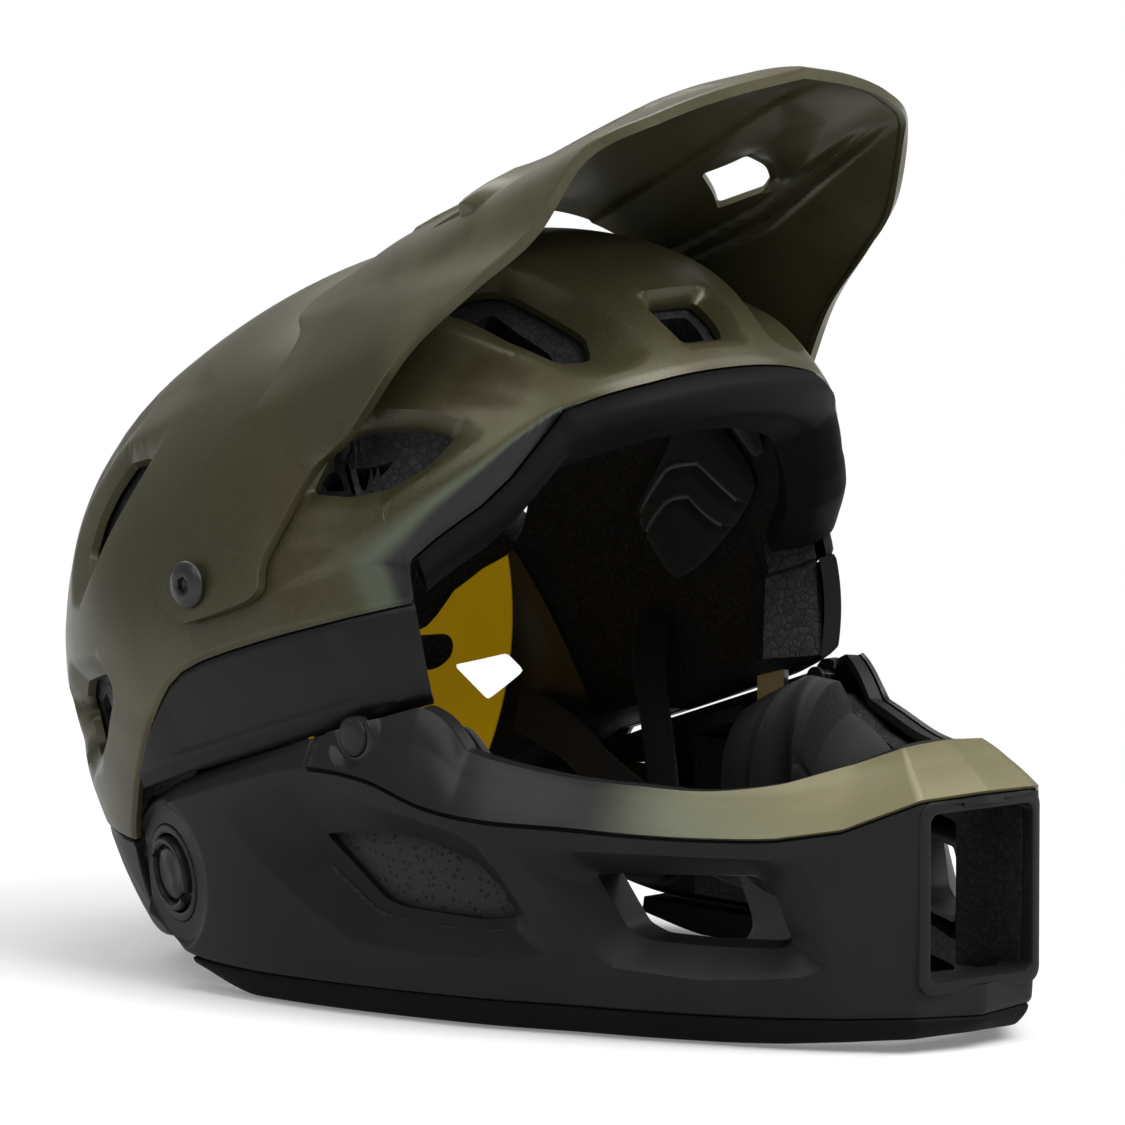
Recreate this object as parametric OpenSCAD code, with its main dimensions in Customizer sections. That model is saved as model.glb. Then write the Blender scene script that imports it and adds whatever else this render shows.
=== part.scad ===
// Full face cycling helmet with a removable chin bar.
// +Z is up and -Y is the front. It stands on the lower edge of its chin bar.
// The wearer's right is -X; right hand pieces are modelled and left ones are mirrored.

/* [Shell form] */
// Half width of the outer shell
dome_half_w = 106; // [103:1:110]
// Reach of the dome in front of its centre
dome_front = 175; // [171:1:180]
// Reach of the dome behind its centre
dome_rear = 103; // [99:1:108]
// Height of the dome above its centre
dome_top = 125; // [121:1:130]
// Depth of the dome's form below its centre
dome_low = 93; // [90:1:97]
// Place of the dome's centre along the helmet
dome_y = 62; // [60:1:64]
// Height of the dome's centre above the ground
dome_z = 84; // [82:1:86]
// Tilt of the dome, front up
dome_tilt = 32; // [30:1:34]
// Squareness of the dome's sections, where 2 is an ellipse
dome_power = 2.2; // [2.1:0.05:2.3]
// Thickness of the outer shell
shell_t = 2.4; // [1.6:0.2:3]
// Depth of the turned-in bevel along the eye port
lip_bevel = 5; // [2:0.5:6]
// Depth of the dished hollow around each vent
vent_dish = 4.5; // [2:0.5:6]

/* [Liner] */
// Thickness of the foam liner
foam_t = 20; // [17:1:24]
// Depth of the air channels inside the foam
channel_depth = 6; // [3:1:9]
// Thickness of the low friction slip liner
slip_t = 1; // [0.6:0.2:1.6]
// Thickness of the comfort pads at their crown
pad_t = 7; // [5:1:9]
// Height of the rolled trim along the brow, in degrees of the dome
roll_drop = 3.4; // [2.6:0.2:4]

/* [Chin bar] */
// Distance from the helmet's origin line to the front of the chin bar
chin_reach = 185; // [181:1:190]
// Place of the rear end of the chin bar
chin_rear = 89; // [87:1:90]
// Wall of the moulded chin bar
chin_wall = 2.6; // [2:0.2:3.2]
// Depth of the chin bar with its foam
chin_depth = 19; // [17:0.5:21]
// Height of the line where the chin bar meets the shell, at the dome's centre
ridge_z = 64.2; // [63:0.2:66]
// Fall of that line towards the rear, for each unit of length
ridge_fall = 0.316; // [0.3:0.004:0.33]
// Thickness of the painted cover on the chin bar
cover_t = 1.2; // [0.8:0.1:1.6]
// Half width of the mouth opening
mouth_half_w = 17; // [14:0.5:18]
// Height of the mouth opening
mouth_h = 48; // [42:1:50]
// Wall of the frame round the mouth opening
mouth_wall = 2; // [1.5:0.1:2.4]

/* [Visor] */
// Thickness of the visor
visor_t = 2.5; // [2:0.1:3]
// Gap between the visor and the shell
visor_gap = 1.6; // [1.2:0.1:2.4]
// Radius of the visor bolt's thread
bolt_r = 2.5; // [2:0.1:3]
// Radius of the visor bolt's head
bolt_head_r = 7.2; // [6:0.2:8]

/* [Latches] */
// Radius of the release knob
knob_r = 11.5; // [10:0.5:12.5]
// Height of the knob's grip
knob_h = 5; // [4:0.5:6]
// Radius of the knob's hub
hub_r = 4; // [3.4:0.2:4.6]
// Radius of the round cap at the front anchor
cap_r = 6; // [5:0.25:6.5]
// Radius of the rivet behind that cap
rivet_r = 2.5; // [2:0.1:2.8]
// Radius of the peg that the front hook takes
peg_r = 2; // [1.6:0.1:2.4]
// Thickness of the steel hook and latch plates
plate_t = 2; // [1.6:0.1:2.4]

/* [Fit system] */
// Radius of the fit dial
dial_r = 13; // [11:0.5:15]
// Thickness of the fit dial
dial_h = 8; // [6:0.5:9]
// Radius of the dial's spindle
spindle_r = 2.5; // [2:0.1:3]
// Height of the cradle band
band_h = 14; // [11:1:17]
// Width of the strap webbing
strap_w = 15; // [12:1:18]
// Thickness of the strap webbing
strap_t = 1.6; // [1.2:0.1:2]

/* [Clearances] */
// Gap between pieces that only lie next to each other
seat_gap = 0.4; // [0.3:0.05:0.5]
// Radial running clearance of a turning fit
run_gap = 0.05; // [0.03:0.01:0.08]

/* [Hidden] */

olive = [0.27, 0.26, 0.17];
black = [0.07, 0.07, 0.075];
grey = [0.25, 0.25, 0.26];
steel = [0.62, 0.63, 0.65];
yellow = [0.86, 0.66, 0.05];
cloth = [0.13, 0.13, 0.14];

RIGHT = 1;
LEFT = -1;

// Plain helpers
function mix(a, b, t) = a + (b - a) * t;
function clamp01(t) = max(0, min(1, t));
function ease(t) = let (u = clamp01(t)) u * u * (3 - 2 * u);
function unit(v) = v / norm(v);
function full(list) = concat([for (i = [len(list) - 1:-1:1]) -list[i]], list);

// Catmull-Rom value of a table's rows at a real row number
function row(tab, i) = tab[max(0, min(len(tab) - 1, i))];
function smooth_row(tab, t) = let (
    i = max(0, min(len(tab) - 2, floor(t))),
    u = t - i,
    a = row(tab, i - 1), b = row(tab, i), c = row(tab, i + 1), d = row(tab, i + 2)
) b + (c - a) * u / 2 + (a * 2 - b * 5 + c * 4 - d) * u * u / 2
    + (b * 3 - a - c * 3 + d) * u * u * u / 2;

// The dome: a superellipsoid, tilted about its centre.
// Azimuth a runs from 0 at the front, positive towards the right; elevation e runs to 90 at the pole.
function dome_dir(a, e) = [-sin(a) * cos(e), -cos(a) * cos(e), sin(e)];
function dome_reach(u, grow) = 1 / pow(
    pow(abs(u.x) / (dome_half_w + grow), dome_power)
    + pow(abs(u.y) / ((u.y < 0 ? dome_front : dome_rear) + grow), dome_power)
    + pow(abs(u.z) / ((u.z < 0 ? dome_low : dome_top) + grow), dome_power), 1 / dome_power);
function tilted(p) = [
    p.x,
    p.y * cos(dome_tilt) + p.z * sin(dome_tilt) + dome_y,
    -p.y * sin(dome_tilt) + p.z * cos(dome_tilt) + dome_z
];
function dome_at(a, e, grow) = let (u = dome_dir(a, e)) tilted(u * dome_reach(u, grow));

// Rearmost point of the dome, from the support function of a superellipsoid
dual = dome_power / (dome_power - 1);
rear_y = dome_y + pow(pow(dome_rear * cos(dome_tilt), dual) + pow(dome_top * sin(dome_tilt), dual), 1 / dual);
// Moves the whole helmet so that its length is centred on the origin
centre_y = (chin_reach - rear_y) / 2;

// Lower edge of the painted shell: elevation against azimuth
shell_edge = [
    [0, 7], [10, 7], [19, 7.5], [26, 3.5], [30, 2], [36, 1], [40, 0], [42, -5], [48, -4],
    [58, -1], [66, 1], [74, 3], [82, 4], [87, 4], [93, 2], [101, -3], [109, -7], [117, -11],
    [125, -6], [135, -1], [150, 4], [180, 8]
];
function edge_e(a) = lookup(abs(a), shell_edge);
// Upper line of the bevel beside the eye port
bevel_line = [[0, 7], [19, 7.6], [24, 7.2], [34, 6.4], [44, 6.4], [46, 5]];
bevel_side = 48;
bevel_side_w = 6;
function bevel(a, e) = let (
    top = lookup(abs(a), bevel_line),
    low = edge_e(min(abs(a), 41)),
    along = clamp01((abs(a) - 15) / 10) * clamp01((top - e) / max(0.5, top - low)),
    beside = e > 6.5 || abs(a) < 40 ? 0 : clamp01((bevel_side - abs(a)) / bevel_side_w)
) lip_bevel * max(abs(a) > 46 ? 0 : along, beside);

// Line where the chin bar meets the parts above it
function ridge(y) = ridge_z - ridge_fall * (y - dome_y);
// Elevation at which the dome crosses that line, found by halving
function ridge_e(a, gap, lo = -40, hi = 20, n = 14) = let (m = (lo + hi) / 2, p = dome_at(a, m, 0))
    n == 0 ? m : p.z > ridge(p.y) + gap ? ridge_e(a, gap, lo, m, n - 1) : ridge_e(a, gap, m, hi, n - 1);

// Vents in the shell, as [azimuth, elevation] outlines on the right side
vent_front = [[25, 26.5], [21, 28.5], [17, 26], [15, 18.5], [14, 12], [15.5, 11.5], [18, 12.5]];
vent_side = [[48, 14], [43, 17], [38, 18], [33, 14.5], [30, 12.3], [33, 10], [42, 9.3], [47, 12]];
vent_rear_high = [[110, 37], [102, 44], [92, 46.5], [80, 44.5], [84, 40], [97, 35.5]];
vent_rear_low = [[104, 16], [103, 9.5], [112, 5], [126, 7], [132, 15], [118, 19]];
vent_exhaust = [[142, 44], [148, 62], [164, 62], [160, 43]];
vent_nape = [[150, 30], [152, 20], [168, 20], [168, 32]];
vent_brow = [[6, 17], [-6, 17], [-4.6, 9.6], [4.6, 9.6]];
side_vents = [vent_front, vent_side, vent_rear_high, vent_rear_low, vent_exhaust, vent_nape];
function middle(list) = [for (k = [0, 1]) let (v = [for (p = list) p[k]]) (max(v) + min(v)) / 2];
function half_span(list) = [for (k = [0, 1]) let (v = [for (p = list) p[k]]) (max(v) - min(v)) / 2];
function grown(list, extra) = let (c = middle(list)) [for (p = list) c + (p - c) * (1 + extra)];
function flipped(list) = [for (p = list) [-p[0], p[1]]];
// Depth of the hollow at a point: each vent sinks an oval around itself
function dish_of(v, a, e) = let (c = middle(v), s = half_span(v) * 1.55 + [2, 2])
    ease(1.25 - norm([(a - c[0]) / s[0], (e - c[1]) / s[1]]));
function dish(a, e) = vent_dish * min(1, max([
    for (v = side_vents) dish_of(v, abs(a), e), dish_of(vent_brow, a, e)
]));

// Grid solid: outer and inner are equal grids of points, [station][row].
// A closed grid joins its last station to its first; tips close the top row to a point.
module sheet(outer, inner, closed = false, tips = []) {
    n = len(outer);
    m = len(outer[0]);
    function o(i, j) = (i % n) * m + j;
    function q(i, j) = n * m + (i % n) * m + j;
    mid_i = floor(n / 2) - (n > 2 ? 0 : 1);
    mid_j = floor(m / 2) - 1;
    across = outer[mid_i][mid_j + 1] - outer[mid_i][mid_j];
    along = outer[(mid_i + 1) % n][mid_j + 1] - outer[mid_i][mid_j];
    flip = cross(across, along) * (outer[mid_i][mid_j] - inner[mid_i][mid_j]) > 0;
    cells = closed ? n - 1 : n - 2;
    tip_o = 2 * n * m;
    tip_q = tip_o + 1;
    // The diagonals lean the other way in the first half, so that a symmetric grid stays symmetric
    faces = concat(
        [for (i = [0:cells], j = [0:m - 2]) each 2 * i < cells + 1 ? [
            [o(i, j), o(i, j + 1), o(i + 1, j)], [o(i, j + 1), o(i + 1, j + 1), o(i + 1, j)],
            [q(i, j), q(i + 1, j), q(i, j + 1)], [q(i, j + 1), q(i + 1, j), q(i + 1, j + 1)]
        ] : [
            [o(i, j), o(i, j + 1), o(i + 1, j + 1)], [o(i, j), o(i + 1, j + 1), o(i + 1, j)],
            [q(i, j), q(i + 1, j + 1), q(i, j + 1)], [q(i, j), q(i + 1, j), q(i + 1, j + 1)]]],
        [for (i = [0:cells]) each [
            [o(i, 0), o(i + 1, 0), q(i + 1, 0)], [o(i, 0), q(i + 1, 0), q(i, 0)]]],
        len(tips) == 0
            ? [for (i = [0:cells]) each [
                [o(i, m - 1), q(i, m - 1), q(i + 1, m - 1)],
                [o(i, m - 1), q(i + 1, m - 1), o(i + 1, m - 1)]]]
            : [for (i = [0:cells]) each [
                [o(i, m - 1), tip_o, o(i + 1, m - 1)], [q(i, m - 1), q(i + 1, m - 1), tip_q]]],
        closed ? [] : [for (j = [0:m - 2]) each [
            [o(0, j), q(0, j), q(0, j + 1)], [o(0, j), q(0, j + 1), o(0, j + 1)],
            [o(n - 1, j), o(n - 1, j + 1), q(n - 1, j + 1)],
            [o(n - 1, j), q(n - 1, j + 1), q(n - 1, j)]]]
    );
    polyhedron(
        points = concat([for (s = outer) each s], [for (s = inner) each s], tips),
        faces = flip ? [for (f = faces) [f[0], f[2], f[1]]] : faces,
        convexity = 8
    );
}

// Patch of the dome between two depths, over a list of azimuths
module dome_patch(azimuths, low, high, rows, g_out, g_in) {
    sheet(
        [for (a = azimuths) [for (k = [0:rows]) dome_at(a, mix(low(a), high(a), k / rows), g_out)]],
        [for (a = azimuths) [for (k = [0:rows]) dome_at(a, mix(low(a), high(a), k / rows), g_in)]]
    );
}

// Prism along the dome's radius, through an outline of [azimuth, elevation] points
module dome_cut(outline, g_out, g_in) {
    hull() {
        for (p = outline, g = [g_out, g_in]) translate(dome_at(p[0], p[1], g)) cube(0.02, center = true);
    }
}
module cut_vents(extra, g_out, g_in) {
    for (v = side_vents, s = [RIGHT, LEFT]) dome_cut(grown(s == RIGHT ? v : flipped(v), extra), g_out, g_in);
    dome_cut(grown(vent_brow, extra), g_out, g_in);
}

// Everything is drawn about the shell's own line and then centred
module placed() {
    translate([0, centre_y, 0]) children();
}
// Draws a right hand piece, or mirrors it for the left
module sided(side) {
    placed() mirror([side == LEFT ? 1 : 0, 0, 0]) children();
}
// Turns +Z to face outwards on the right, swung to the rear by yaw and down by pitch
module facing(pos, yaw = 0, pitch = 0) {
    translate(pos) rotate([0, -90 - pitch, -yaw]) children();
}

// The chin bar: share of half width, share of length, rim inset, rim height,
// crease height, lower inset, lower height, skirt bottom
chin_rows = [
    [0, 1, 18, 90.5, 77, 1, 10, 4],
    [0.226, 0.989, 18, 89.5, 76, 2, 11, 3.5],
    [0.377, 0.927, 16, 84, 67, 4, 10, 2],
    [0.49, 0.872, 12, 79, 64, 6, 9.5, 0.8],
    [0.604, 0.796, 9, 76, 63, 8, 9, 0],
    [0.698, 0.719, 8, 76.5, 63, 8, 9, 0],
    [0.774, 0.642, 8, 77.5, 63.5, 8, 9, 0],
    [0.868, 0.555, 9, 81, 64, 8, 9, 0],
    [0.915, 0.478, 9, 89, 66.5, 7, 9, 0],
    [0.953, 0.394, 5, 90, 73, 6, 9, 0],
    [0.972, 0.299, 4, 81, 73.5, 4, 9, 0],
    [0.985, 0.197, 4, 73, 66.5, 4, 9, 0],
    [0.98, 0.0985, 4, 64, 58, 6, 10, 5],
    [0.945, 0.033, 4, 58.5, 52, 6, 14, 9],
    [0.9, 0, 4, 55.5, 49, 5, 18, 13]
];
chin_last = len(chin_rows) - 1;
// Beyond this row the rim follows the line under the shell
ridge_row = 9.4;
// The rows' shares are of this length; a longer or shorter bar differs from it at its front alone
chin_full = 274;
chin_stretch = chin_reach + chin_rear - chin_full;
function chin_row(t) = let (s = abs(t))
    s < 3 ? mix(row(chin_rows, floor(s)), row(chin_rows, floor(s) + 1), s - floor(s)) : smooth_row(chin_rows, s);
function chin_xy(t) = let (r = chin_row(t)) [
    -sign(t) * r[0] * dome_half_w,
    chin_rear - r[1] * chin_full - chin_stretch * ease((8 - abs(t)) / 5)
];
function chin_out(t) = let (d = chin_xy(t + 0.9) - chin_xy(t - 0.9)) unit([-d.y, d.x]);
// The rear end leans forward above this height, along the painted shell's lip
lean_z = 44;
lean_slope = 0.56;
function chin_at(t, inset, z) = let (
    p = chin_xy(t) - chin_out(t) * inset,
    lean = clamp01(abs(t) - chin_last + 2) * lean_slope * max(0, z - lean_z)
) [p.x, p.y - lean, z];
function rim_z(t) = let (r = chin_row(t), y = chin_xy(t).y)
    mix(r[3], ridge(y) - seat_gap, clamp01((abs(t) - ridge_row) * 2));
function rim_in(t) = mix(6, 2.6, clamp01(abs(t) - 8.6));

// Upper band of the chin bar, which the painted cover takes
cover_end = 8.5;
function band(t) = let (r = chin_row(t), u = r[2], zu = rim_z(t)) [
    [0, min(r[4], zu - 5) + 0.3], [u * 0.55, mix(r[4], zu, 0.62)], [u - 0.2, zu]];
// Outer profile of the moulding, from its lower edge up and over the rim
function chin_profile(t) = let (
    r = chin_row(t), u = r[2], zu = rim_z(t), zc = min(r[4], zu - 5), l = r[5], zl = r[6],
    under = shifted(band(t), abs(t) < cover_end + 0.2 ? cover_t + seat_gap : 0),
    waist = chin_waist(t)
) [
    [l, zl],
    [l * 0.45 + waist, mix(zl, zc, 0.3)],
    [l * 0.1 + waist * 0.9, mix(zl, zc, 0.7)],
    [0, zc - 1.2],
    under[0] - [0, 0.4],
    under[1],
    under[2] + [0.4, 0],
    [u + rim_in(t), min(zu, under[2][1] + 0.8)]
];
function chin_waist(t) = 3.4 * ease((abs(t) - 5.5) / 2) * ease((11.4 - abs(t)) / 2);
// Moves a profile inwards by its own normal
function shifted(p, d) = [for (i = [0:len(p) - 1]) let (
    a = p[max(0, i - 1)], b = p[min(len(p) - 1, i + 1)], v = unit(b - a)
) p[i] + [v.y, -v.x] * d];
// Inside of the moulding: straight in below the crease, along the normal above it
function chin_inside(p) = concat(
    [for (i = [0:2]) p[i] + [chin_wall, 0]],
    [p[3] + [chin_wall, -2.4]],
    [for (i = [4:7]) let (v = unit(p[min(7, i + 1)] - p[max(4, i - 1)])) p[i] + [v.y, -v.x] * chin_wall]
);
function placed_profile(t, p) = [for (q = p) chin_at(t, q[0], q[1])];
chin_t = [for (t = [-chin_last:0.5:chin_last]) t];

// Side openings in the chin bar, as [row, height] outlines
mid_vent = [[5.55, 49.5], [3.2, 51.3], [3.05, 47], [2.76, 32.2], [2.95, 30], [4.05, 29.4], [4.73, 30.6], [5.05, 33]];
mid_recess = [
    [6.64, 54.6], [6.4, 56.6], [4.87, 57.3], [2.9, 57.6], [2.6, 56.3], [2.35, 44.6],
    [2.2, 25.5], [2.5, 22.6], [4.05, 20], [5.32, 22.2], [5.61, 25.6]
];
rear_vent = [
    [9.96, 52.7], [9.35, 55.2], [8.93, 56], [8.11, 55], [7.44, 50.5], [6.93, 44.5],
    [6.7, 34.5], [7.44, 31.6], [8.69, 32.9], [8.94, 34.5]
];
module chin_cut(side, outline, d_out, d_in, inner = [], d_mid = 0) {
    hull() {
        for (p = outline) {
            translate(chin_at(side * p[0], d_out, p[1])) cube(0.02, center = true);
            if (len(inner) == 0) translate(chin_at(side * p[0], d_in, p[1])) cube(0.02, center = true);
        }
        for (p = inner) translate(chin_at(side * p[0], d_in, p[1])) cube(0.02, center = true);
    }
}

// Release knob: its seat on the chin bar, and the depths of its stack
knob_row = 12.5;
knob_z = 34;
knob_yaw = 15;
knob_pitch = 8;
knob_pos = chin_at(knob_row, 5.4, knob_z);
housing_r = knob_r + 3.6;
housing_depth = 9;
housing_floor = 3;
knob_sink = knob_h - 1.6;
hub_end = -13;
magnet_r = 6;
magnet_t = 3;

// Front anchor: cap and hook on the chin bar, peg and bracket on the helmet
cap_row = 9.2;
cap_z = 84.7;
cap_pos = chin_at(cap_row, 3.2, cap_z);
cap_sink = 3.2;
hook_depth = 5.2;
peg_y = 4;
peg_z = ridge(peg_y) - 5.5;
bracket_x = cap_pos.x + hook_depth + plate_t + 2;
bracket_top = ridge(peg_y) + 11;
bracket_w = 12;

// Visor pivot on the shell
pivot_a = 73;
pivot_e = 15;
pivot = dome_at(pivot_a, pivot_e, 0);

// Fit cradle
cradle_rear = 112;
cradle_half_w = 71;
cradle_z = 34;
band_t = 2;
cradle_front = 24;

module outer_shell() {
    half = concat([for (a = [0:5:35]) a], [40, 42, 45], [for (a = [50:5:175]) a], [180]);
    ring = concat([for (i = [len(half) - 1:-1:1]) -half[i]], [for (i = [0:len(half) - 2]) half[i]]);
    rows = 11;
    function e(a, k) = mix(edge_e(a), 86, pow(k / rows, 1.15));
    color(olive) placed() difference() {
        sheet(
            [for (a = ring) [for (k = [0:rows]) let (v = e(a, k)) dome_at(a, v, -dish(a, v) - bevel(a, v))]],
            [for (a = ring) [for (k = [0:rows]) let (v = e(a, k))
                dome_at(a, v, -dish(a, v) - bevel(a, v) - shell_t)]],
            closed = true, tips = [dome_at(0, 90, 0), dome_at(0, 90, -shell_t)]
        );
        cut_vents(0, 12, -16);
        for (s = [RIGHT, LEFT]) mirror([s == LEFT ? 1 : 0, 0, 0]) hull() {
            facing(pivot) cylinder(r = bolt_r + 0.6, h = 20, center = true, $fn = 24);
        }
    }
}

// The foam's own outline: under the trims it stops short of them
foam_edge = [[108, -5.6], [116, -6], [122, -5], [128, -6], [134, -9], [145, -9], [160, -5], [180, -4]];
// Between these azimuths the foam reaches down behind the rim of the chin bar
tuck_from = 74;
tuck_to = 88;
function tucked(a) = ease((abs(a) - tuck_from + 4) / 4) * ease((tuck_to + 4 - abs(a)) / 4);
function foam_low(a) = abs(a) <= 40 ? edge_e(a) + 0.15
    : abs(a) <= 104 ? ridge_e(abs(a), mix(0.8, -2, tucked(a)))
    : mix(ridge_e(104, 0.8), lookup(abs(a), foam_edge), clamp01((abs(a) - 104) / 4));
foam_out = -shell_t - seat_gap - 0.4;
foam_in = foam_out - foam_t;
function foam_sink(a, e) = 1 + max(dish(a, e) * 1.2, bevel(a, e) * 1.2, 5.5 * tucked(a) * ease((foam_low(a) + 4 - e) / 2));
// Channels run front to rear along the inside of the foam
function channel(a, e) = let (p = dome_dir(a, e), x = abs(p.x) * dome_half_w)
    e < 24 ? 0 : channel_depth * ease(1.6 - abs(x - 30) / 7) * ease((e - 24) / 8);
module foam_liner() {
    half = concat([for (a = [0:6:36]) a], [40, 44], [for (a = [48:6:174]) a], [180]);
    ring = concat([for (i = [len(half) - 1:-1:1]) -half[i]], [for (i = [0:len(half) - 2]) half[i]]);
    rows = 9;
    function e(a, k) = mix(foam_low(a), 86, pow(k / rows, 1.05));
    color(grey) placed() difference() {
        sheet(
            [for (a = ring) [for (k = [0:rows]) let (v = e(a, k)) dome_at(a, v, foam_out - foam_sink(a, v))]],
            [for (a = ring) [for (k = [0:rows]) let (v = e(a, k)) dome_at(a, v, foam_in + channel(a, v))]],
            closed = true, tips = [dome_at(0, 90, foam_out), dome_at(0, 90, foam_in)]
        );
        cut_vents(-0.42, 4, -60);
        for (s = [RIGHT, LEFT]) mirror([s == LEFT ? 1 : 0, 0, 0]) {
            hull() facing(pivot) translate([0, 0, -20]) cylinder(r = nut_r + seat_gap, h = 30, $fn = 24);
            translate([bracket_x - seat_gap, peg_y - bracket_w / 2 - seat_gap, peg_z])
                cube([plate_t + 2 * seat_gap, bracket_w + 2 * seat_gap, bracket_top - peg_z + seat_gap]);
        }
    }
}

slip_out = foam_in - seat_gap;
module slip_liner() {
    low = function (a) max(foam_low(a > 180 ? 360 - a : a), -4) + 1;
    high = function (a) 36;
    color(yellow) placed() difference() {
        dome_patch([for (a = [105:7.5:255]) a], low, high, 4, slip_out, slip_out - slip_t);
        for (v = [vent_rear_low, vent_nape], s = [RIGHT, LEFT])
            dome_cut(grown(s == RIGHT ? v : flipped(v), -0.2), -10, -60);
    }
}

// Rolled edge of the eye port, from temple to temple
brow_end = 39;
module brow_trim() {
    color(black) placed() sheet(
        [for (a = [-brow_end:3:brow_end]) let (e = edge_e(a) - 0.35, g = -bevel(a, edge_e(a))) [
            dome_at(a, e, g), dome_at(a, e - roll_drop * 0.55, g + 0.6), dome_at(a, e - roll_drop * 0.95, g - 3),
            dome_at(a, e - roll_drop * 1.05, g - 9), dome_at(a, e - roll_drop * 0.8, foam_in)]],
        [for (a = [-brow_end:3:brow_end]) let (e = edge_e(a) - 0.35, g = -bevel(a, edge_e(a))) [
            dome_at(a, e, g - 2), dome_at(a, e, g - 5), dome_at(a, e, g - 9),
            dome_at(a, e, g - 14), dome_at(a, e, foam_in)]]
    );
}

// Black lower panel between the painted shell and the chin bar
module side_shell(side) {
    first = 43;
    last = 104.5;
    function low(a) = ridge_e(a, seat_gap + 0.2);
    function high(a) = max(low(a) + 0.6, edge_e(a) - 0.5);
    function turn_in(a) = lip_bevel * clamp01((bevel_side - a) / bevel_side_w);
    color(black) sided(side) sheet(
        [for (i = [0:16]) let (a = mix(first, last, i / 16))
            [for (k = [0:4]) dome_at(a, mix(low(a), high(a), k / 4), -turn_in(a))]],
        [for (i = [0:16]) let (a = mix(first, last, i / 16))
            [for (k = [0:4]) dome_at(a, mix(low(a), high(a), k / 4), -turn_in(a) - shell_t)]]
    );
}

// Black trim round the lower rear of the shell
nape_edge = [
    [117.6, -12], [119, -14], [122, -18], [125, -22], [129, -24.5], [135, -22], [142, -17],
    [150, -13], [165, -9.5], [180, -8.5]
];
nape_flare = 5;
module nape_trim() {
    half = concat([117.6, 119, 122, 125], [for (a = [129:5:174]) a]);
    azimuths = concat(half, [180], [for (i = [len(half) - 1:-1:0]) 360 - half[i]]);
    function low(a) = lookup(a > 180 ? 360 - a : a, nape_edge);
    function high(a) = edge_e(a > 180 ? 360 - a : a) - 0.3;
    function flare(a, k) = nape_flare * pow(1 - k / 4, 1.3) * clamp01((high(a) - low(a)) / 16) * (high(a) > low(a) ? 1 : 0);
    color(black) placed() sheet(
        [for (a = azimuths) [for (k = [0:4]) dome_at(a, mix(low(a), high(a), k / 4), flare(a, k))]],
        [for (a = azimuths) [for (k = [0:4]) dome_at(a, mix(low(a), high(a), k / 4), flare(a, k) - shell_t)]]
    );
}

// Soft pad on the inside of the dome, with a crown and drawn-in sides
module dome_pad(a0, a1, e0, e1, steps, rows, thick, seat) {
    back = foam_in - seat;
    function crown(i, k) = thick * (0.25 + 0.75 * pow(max(0, 1 - pow(abs(2 * i / steps - 1), 3)), 0.6)
        * pow(max(0, 1 - pow(abs(2 * k / rows - 1), 3)), 0.6));
    color(cloth) sheet(
        [for (i = [0:steps]) let (a = mix(a0, a1, i / steps))
            [for (k = [0:rows]) dome_at(a, mix(e0(a), e1(a), k / rows), back)]],
        [for (i = [0:steps]) let (a = mix(a0, a1, i / steps))
            [for (k = [0:rows]) dome_at(a, mix(e0(a), e1(a), k / rows), back - crown(i, k))]]
    );
}
module brow_pad() {
    placed() dome_pad(-26, 26, function (a) edge_e(a) + 2, function (a) edge_e(a) + 9, 12, 5, pad_t, 1.5);
}
module crown_pad() {
    placed() dome_pad(-14, 14, function (a) 34 - abs(a) * 0.3, function (a) 66 + abs(a) * 0.3, 6, 12, pad_t, 1.1);
}
module temple_pad(side) {
    sided(side) dome_pad(32, 66, function (a) 5 + a * 0.02, function (a) 24, 8, 8, pad_t, 1.3);
}

// Visor hardware
nut_r = 6;
nut_t = 6;
nut_sink = shell_t + vent_dish;
bolt_reach = visor_gap + visor_t + 0.3;
module visor_nut(side) {
    color(steel) sided(side) facing(pivot) difference() {
        translate([0, 0, -nut_sink - nut_t]) cylinder(r = nut_r, h = nut_t + nut_sink - shell_t - 1.6, $fn = 48);
        translate([0, 0, -nut_sink - nut_t - 1]) cylinder(r = bolt_r + run_gap, h = 20, $fn = 48);
    }
}
module visor_bolt(side) {
    color(steel) sided(side) facing(pivot) difference() {
        union() {
            translate([0, 0, -nut_sink - nut_t + 1]) cylinder(r = bolt_r, h = nut_sink + nut_t + bolt_reach + 0.4, $fn = 48);
            translate([0, 0, bolt_reach + 1]) rotate_extrude($fn = 64) polygon([
                [0, 0], [bolt_head_r, 0], [bolt_head_r, 0.9], [bolt_head_r * 0.86, 1.7],
                [bolt_head_r * 0.55, 2.3], [0, 2.5]]);
        }
        translate([0, 0, bolt_reach + 1.6]) cylinder(r = 2.3, h = 4, $fn = 6);
    }
}
module visor_bush(side) {
    color(black) sided(side) facing(pivot) difference() {
        translate([0, 0, 1.1]) cylinder(r = bolt_r + 3, h = bolt_reach - 1.3, $fn = 48);
        translate([0, 0, -5]) cylinder(r = bolt_r + run_gap, h = 20, $fn = 48);
    }
}

// Visor: its rear edge lies on the dome, its front edge stands free.
// Rear edge as [azimuth, elevation], from the middle to the foot of the arm
visor_rear = [
    [0, 51], [12.3, 50], [23.4, 48], [33, 45], [41, 43], [43, 38], [51, 33], [59, 32],
    [69, 28], [77, 23.5], [82, 18], [81, 14], [78, 10]
];
// Free front edge as [share of half width, distance ahead of the pivot, height above it]
visor_front = [
    [0, 155.5, 161], [0.236, 149.5, 156.5], [0.434, 142.5, 150], [0.623, 130.5, 139],
    [0.708, 117.5, 115], [0.774, 98.5, 98], [0.83, 75.5, 77], [0.885, 55.5, 49]
];
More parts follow.
